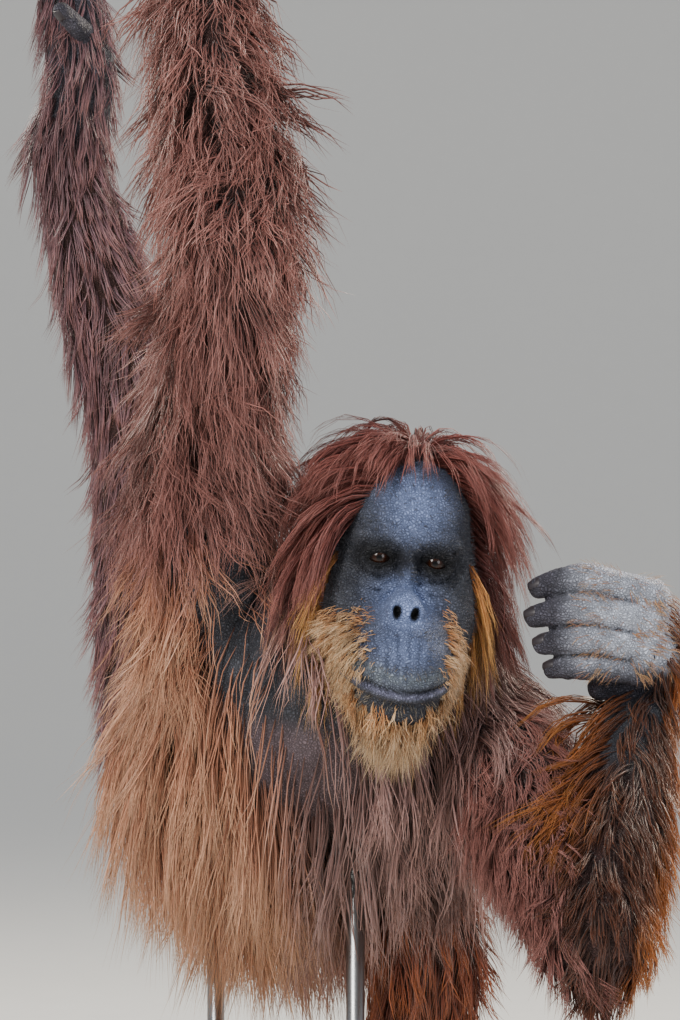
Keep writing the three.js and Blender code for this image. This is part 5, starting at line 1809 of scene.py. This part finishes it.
def build_stand():
    """The base: rounded rectangles of changing inset, stacked along the profile of its edge. Each
    rod: circles stacked along its height, with a collar on the base."""
    low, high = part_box("stand_base")
    half = (np.array(high[:2]) - np.array(low[:2])) / 2 / MM
    centre = (np.array(high[:2]) + np.array(low[:2])) / 2 / MM
    a = np.linspace(0, 2 * np.pi, 160, endpoint=False)
    corner = 50.0

    def outline(inset, z):
        c = corner - inset * 0.5
        x = np.sign(np.cos(a)) * (half[0] - inset - c) + np.cos(a) * c
        y = np.sign(np.sin(a)) * (half[1] - inset - c) + np.sin(a) * c
        return np.stack([x + centre[0], y + centre[1], np.full_like(a, z)], 1)

    top = BASE_TOP
    profile = [(1.2, 0.0), (0.3, 1.0), (0.0, 3.0), (0.0, top - 6), (0.6, top - 3),
               (2.2, top - 0.9), (4.5, top - 0.1), (12, top), (40, top), (80, top)]
    grid = np.array([outline(i, z) for i, z in profile])
    points, faces = capped_grid(grid, (*centre, 0.0), (*centre, top))
    base = new_object("base_board", points, faces)
    fix_normals(base)
    base.data.materials.append(wood_material(
        "planed_wood", linear("a98b66"), linear("cdb38d"), (0.35, 5.0, 5.0), 9, 0.42, 0.25, 0.0006))
    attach(base, "root")
    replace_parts(base, "stand_base")
    for name in ("front", "rear"):
        low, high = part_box(f"stand_rod_{name}")
        x, y = (low[0] + high[0]) / 2 / MM, (low[1] + high[1]) / 2 / MM
        radius = (high[0] - low[0]) / 2 / MM
        z0, z1 = low[2] / MM, high[2] / MM
        profile = [(radius, z0), (radius, BASE_TOP + 0.2), (radius * 1.9, BASE_TOP + 0.2),
                   (radius * 2.0, BASE_TOP + 1.5), (radius * 1.9, BASE_TOP + 4.5),
                   (radius * 1.2, BASE_TOP + 5.5), (radius, BASE_TOP + 7), (radius, z1 - 1),
                   (radius - 1, z1)]
        ring = np.linspace(0, 2 * np.pi, 48, endpoint=False)
        grid = np.array([np.stack([x + r * np.cos(ring), y + r * np.sin(ring),
                                   np.full_like(ring, z)], 1) for r, z in profile])
        points, faces = capped_grid(grid, (x, y, z0), (x, y, z1))
        rod = new_object(f"rod_{name}", points, faces)
        fix_normals(rod)
        rod.data.materials.append(steel_material())
        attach(rod, "root")
        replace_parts(rod, f"stand_rod_{name}")


# Studio


def area_light(name, place, target, size, power, colour):
    """A disc light that faces its target."""
    light = bpy.data.lights.new(name, "AREA")
    light.shape = "DISK"
    light.size = size
    light.energy = power
    light.color = colour
    obj = bpy.data.objects.new(name, light)
    bpy.context.scene.collection.objects.link(obj)
    obj.location = place
    way = vec(target) - vec(place)
    obj.rotation_euler = Vector(way).to_track_quat("-Z", "Y").to_euler()


CAMERA_PLACE = (0.020, -3.700, 0.757)
CAMERA_REACH = 3.5
VIEW_HEIGHT = 0.971
SENSOR = 36.0


def build_stage():
    """Camera, even light from all round, four disc lights, and a floor that bends up in a quarter
    circle far behind the model."""
    camera = bpy.data.cameras.new("camera")
    camera.sensor_width = SENSOR
    camera.lens = SENSOR * CAMERA_REACH / VIEW_HEIGHT
    camera.clip_end = 50
    obj = bpy.data.objects.new("camera", camera)
    bpy.context.scene.collection.objects.link(obj)
    obj.location = CAMERA_PLACE
    obj.rotation_euler = (np.pi / 2, 0, 0)
    bpy.context.scene.camera = obj
    world = bpy.data.worlds.new("studio")
    world.use_nodes = True
    world.node_tree.nodes["Background"].inputs[0].default_value = (0.86, 0.9, 0.96, 1)
    world.node_tree.nodes["Background"].inputs[1].default_value = 0.42
    bpy.context.scene.world = world
    reach, back, top, curve = 13.0, 12.0, 6.0, 2.5
    bend = np.radians(np.linspace(0, 90, 14))
    rise = np.concatenate([[[-reach, -0.002]], np.stack(
        [back - curve + curve * np.sin(bend), curve * (1 - np.cos(bend)) - 0.002], 1),
        [[back, top]]])
    across = np.linspace(-reach, reach, 3)
    grid = np.array([[(x, y, z) for x in across] for y, z in rise]) / MM
    floor = new_object("floor", grid.reshape(-1, 3), grid_faces(len(rise), 3, closed=False))
    material, tree = node_material("studio_floor")
    if tree:
        shade = add(tree, "ShaderNodeRGB")
        shade.outputs[0].default_value = (*linear("cfceca"), 1)
        shader = mottled(tree, shade.outputs[0], 0.05, 0.7, 2, 20)
        shader.inputs["Emission Color"].default_value = (0.80, 0.785, 0.76, 1)
        shader.inputs["Emission Strength"].default_value = 0.24
    floor.data.materials.append(material)
    area_light("key", (-1.7, -2.6, 2.6), (0, -0.1, 0.75), 1.4, 104, (1.0, 0.97, 0.93))
    area_light("fill", (2.2, -2.4, 1.4), (0, -0.1, 0.7), 1.8, 38, (0.93, 0.96, 1.0))
    area_light("rim_right", (1.9, 1.5, 2.1), (0, -0.1, 0.8), 0.9, 95, (1.0, 0.9, 0.76))
    area_light("rim_left", (-1.9, 1.5, 2.3), (0, -0.1, 0.8), 0.9, 70, (1.0, 0.92, 0.8))


# Add-on


class OrangutanSizes(bpy.types.PropertyGroup):
    """Sizes and amounts that a user may change."""

    coat_amount: bpy.props.FloatProperty(
        name="Coat amount", description="Share of the full number of tufts", default=1.0,
        min=0.05, max=1.5)
    tuft_width: bpy.props.FloatProperty(
        name="Tuft width", description="Width of every tuft against its usual width",
        default=1.0, min=0.3, max=3.0)


class ORANG_OT_stage(bpy.types.Operator):
    """Makes the floor, the lights and the camera"""

    bl_idname = "orang.stage"
    bl_label = "Studio"

    def execute(self, context):
        build_stage()
        return {"FINISHED"}


class ORANG_OT_skin(bpy.types.Operator):
    """Makes one skin over the head, body, arms and legs"""

    bl_idname = "orang.skin"
    bl_label = "Skin"

    def execute(self, context):
        skin = build_skin()
        skin.data.materials.append(skin_material())
        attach(skin, "root")
        flesh = [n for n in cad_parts
                 if not n.startswith(("eye", "perch", "stand"))]
        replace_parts(skin, *flesh)
        return {"FINISHED"}


class ORANG_OT_eyes(bpy.types.Operator):
    """Makes both eyes"""

    bl_idname = "orang.eyes"
    bl_label = "Eyes"

    def execute(self, context):
        for name, way in (("right", -1), ("left", 1)):
            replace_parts(build_eye(f"eyeball_{name}", way), f"eye_{name}")
        return {"FINISHED"}


class ORANG_OT_nails(bpy.types.Operator):
    """Makes the nails of all fingers and toes"""

    bl_idname = "orang.nails"
    bl_label = "Nails"

    def execute(self, context):
        build_nails()
        return {"FINISHED"}


class ORANG_OT_coat(bpy.types.Operator):
    """Makes the long coat of the body, arms and legs"""

    bl_idname = "orang.coat"
    bl_label = "Coat"

    def execute(self, context):
        body_coat(context.scene.orangutan_sizes)
        return {"FINISHED"}


class ORANG_OT_hair(bpy.types.Operator):
    """Makes the hair of the head and the beard"""

    bl_idname = "orang.hair"
    bl_label = "Head hair and beard"

    def execute(self, context):
        for piece in (crown_hair, side_hair, beard, cheek_hair, face_fuzz, hand_hair):
            piece(context.scene.orangutan_sizes)
        return {"FINISHED"}


class ORANG_OT_perch(bpy.types.Operator):
    """Makes the bark of the branch"""

    bl_idname = "orang.perch"
    bl_label = "Branch"

    def execute(self, context):
        build_perch()
        return {"FINISHED"}


class ORANG_OT_stand(bpy.types.Operator):
    """Makes the display stand"""

    bl_idname = "orang.stand"
    bl_label = "Stand"

    def execute(self, context):
        build_stand()
        return {"FINISHED"}


STEPS = (ORANG_OT_stage, ORANG_OT_skin, ORANG_OT_eyes, ORANG_OT_nails, ORANG_OT_coat,
         ORANG_OT_hair, ORANG_OT_perch, ORANG_OT_stand)


class ORANG_PT_panel(bpy.types.Panel):
    """Lists the steps and sizes in the sidebar"""

    bl_idname = "ORANG_PT_panel"
    bl_label = "Orangutan"
    bl_space_type = "VIEW_3D"
    bl_region_type = "UI"
    bl_category = "Orangutan"

    def draw(self, context):
        sizes = context.scene.orangutan_sizes
        self.layout.prop(sizes, "coat_amount")
        self.layout.prop(sizes, "tuft_width")
        for step in STEPS:
            self.layout.operator(step.bl_idname)


CLASSES = (OrangutanSizes, *STEPS, ORANG_PT_panel)


def register():
    for cls in CLASSES:
        bpy.utils.register_class(cls)
    bpy.types.Scene.orangutan_sizes = bpy.props.PointerProperty(type=OrangutanSizes)


def unregister():
    del bpy.types.Scene.orangutan_sizes
    for cls in reversed(CLASSES):
        bpy.utils.unregister_class(cls)


def main():
    register()
    for step in STEPS:
        group, name = step.bl_idname.split(".")
        getattr(getattr(bpy.ops, group), name)()


if __name__ == "__main__":
    main()
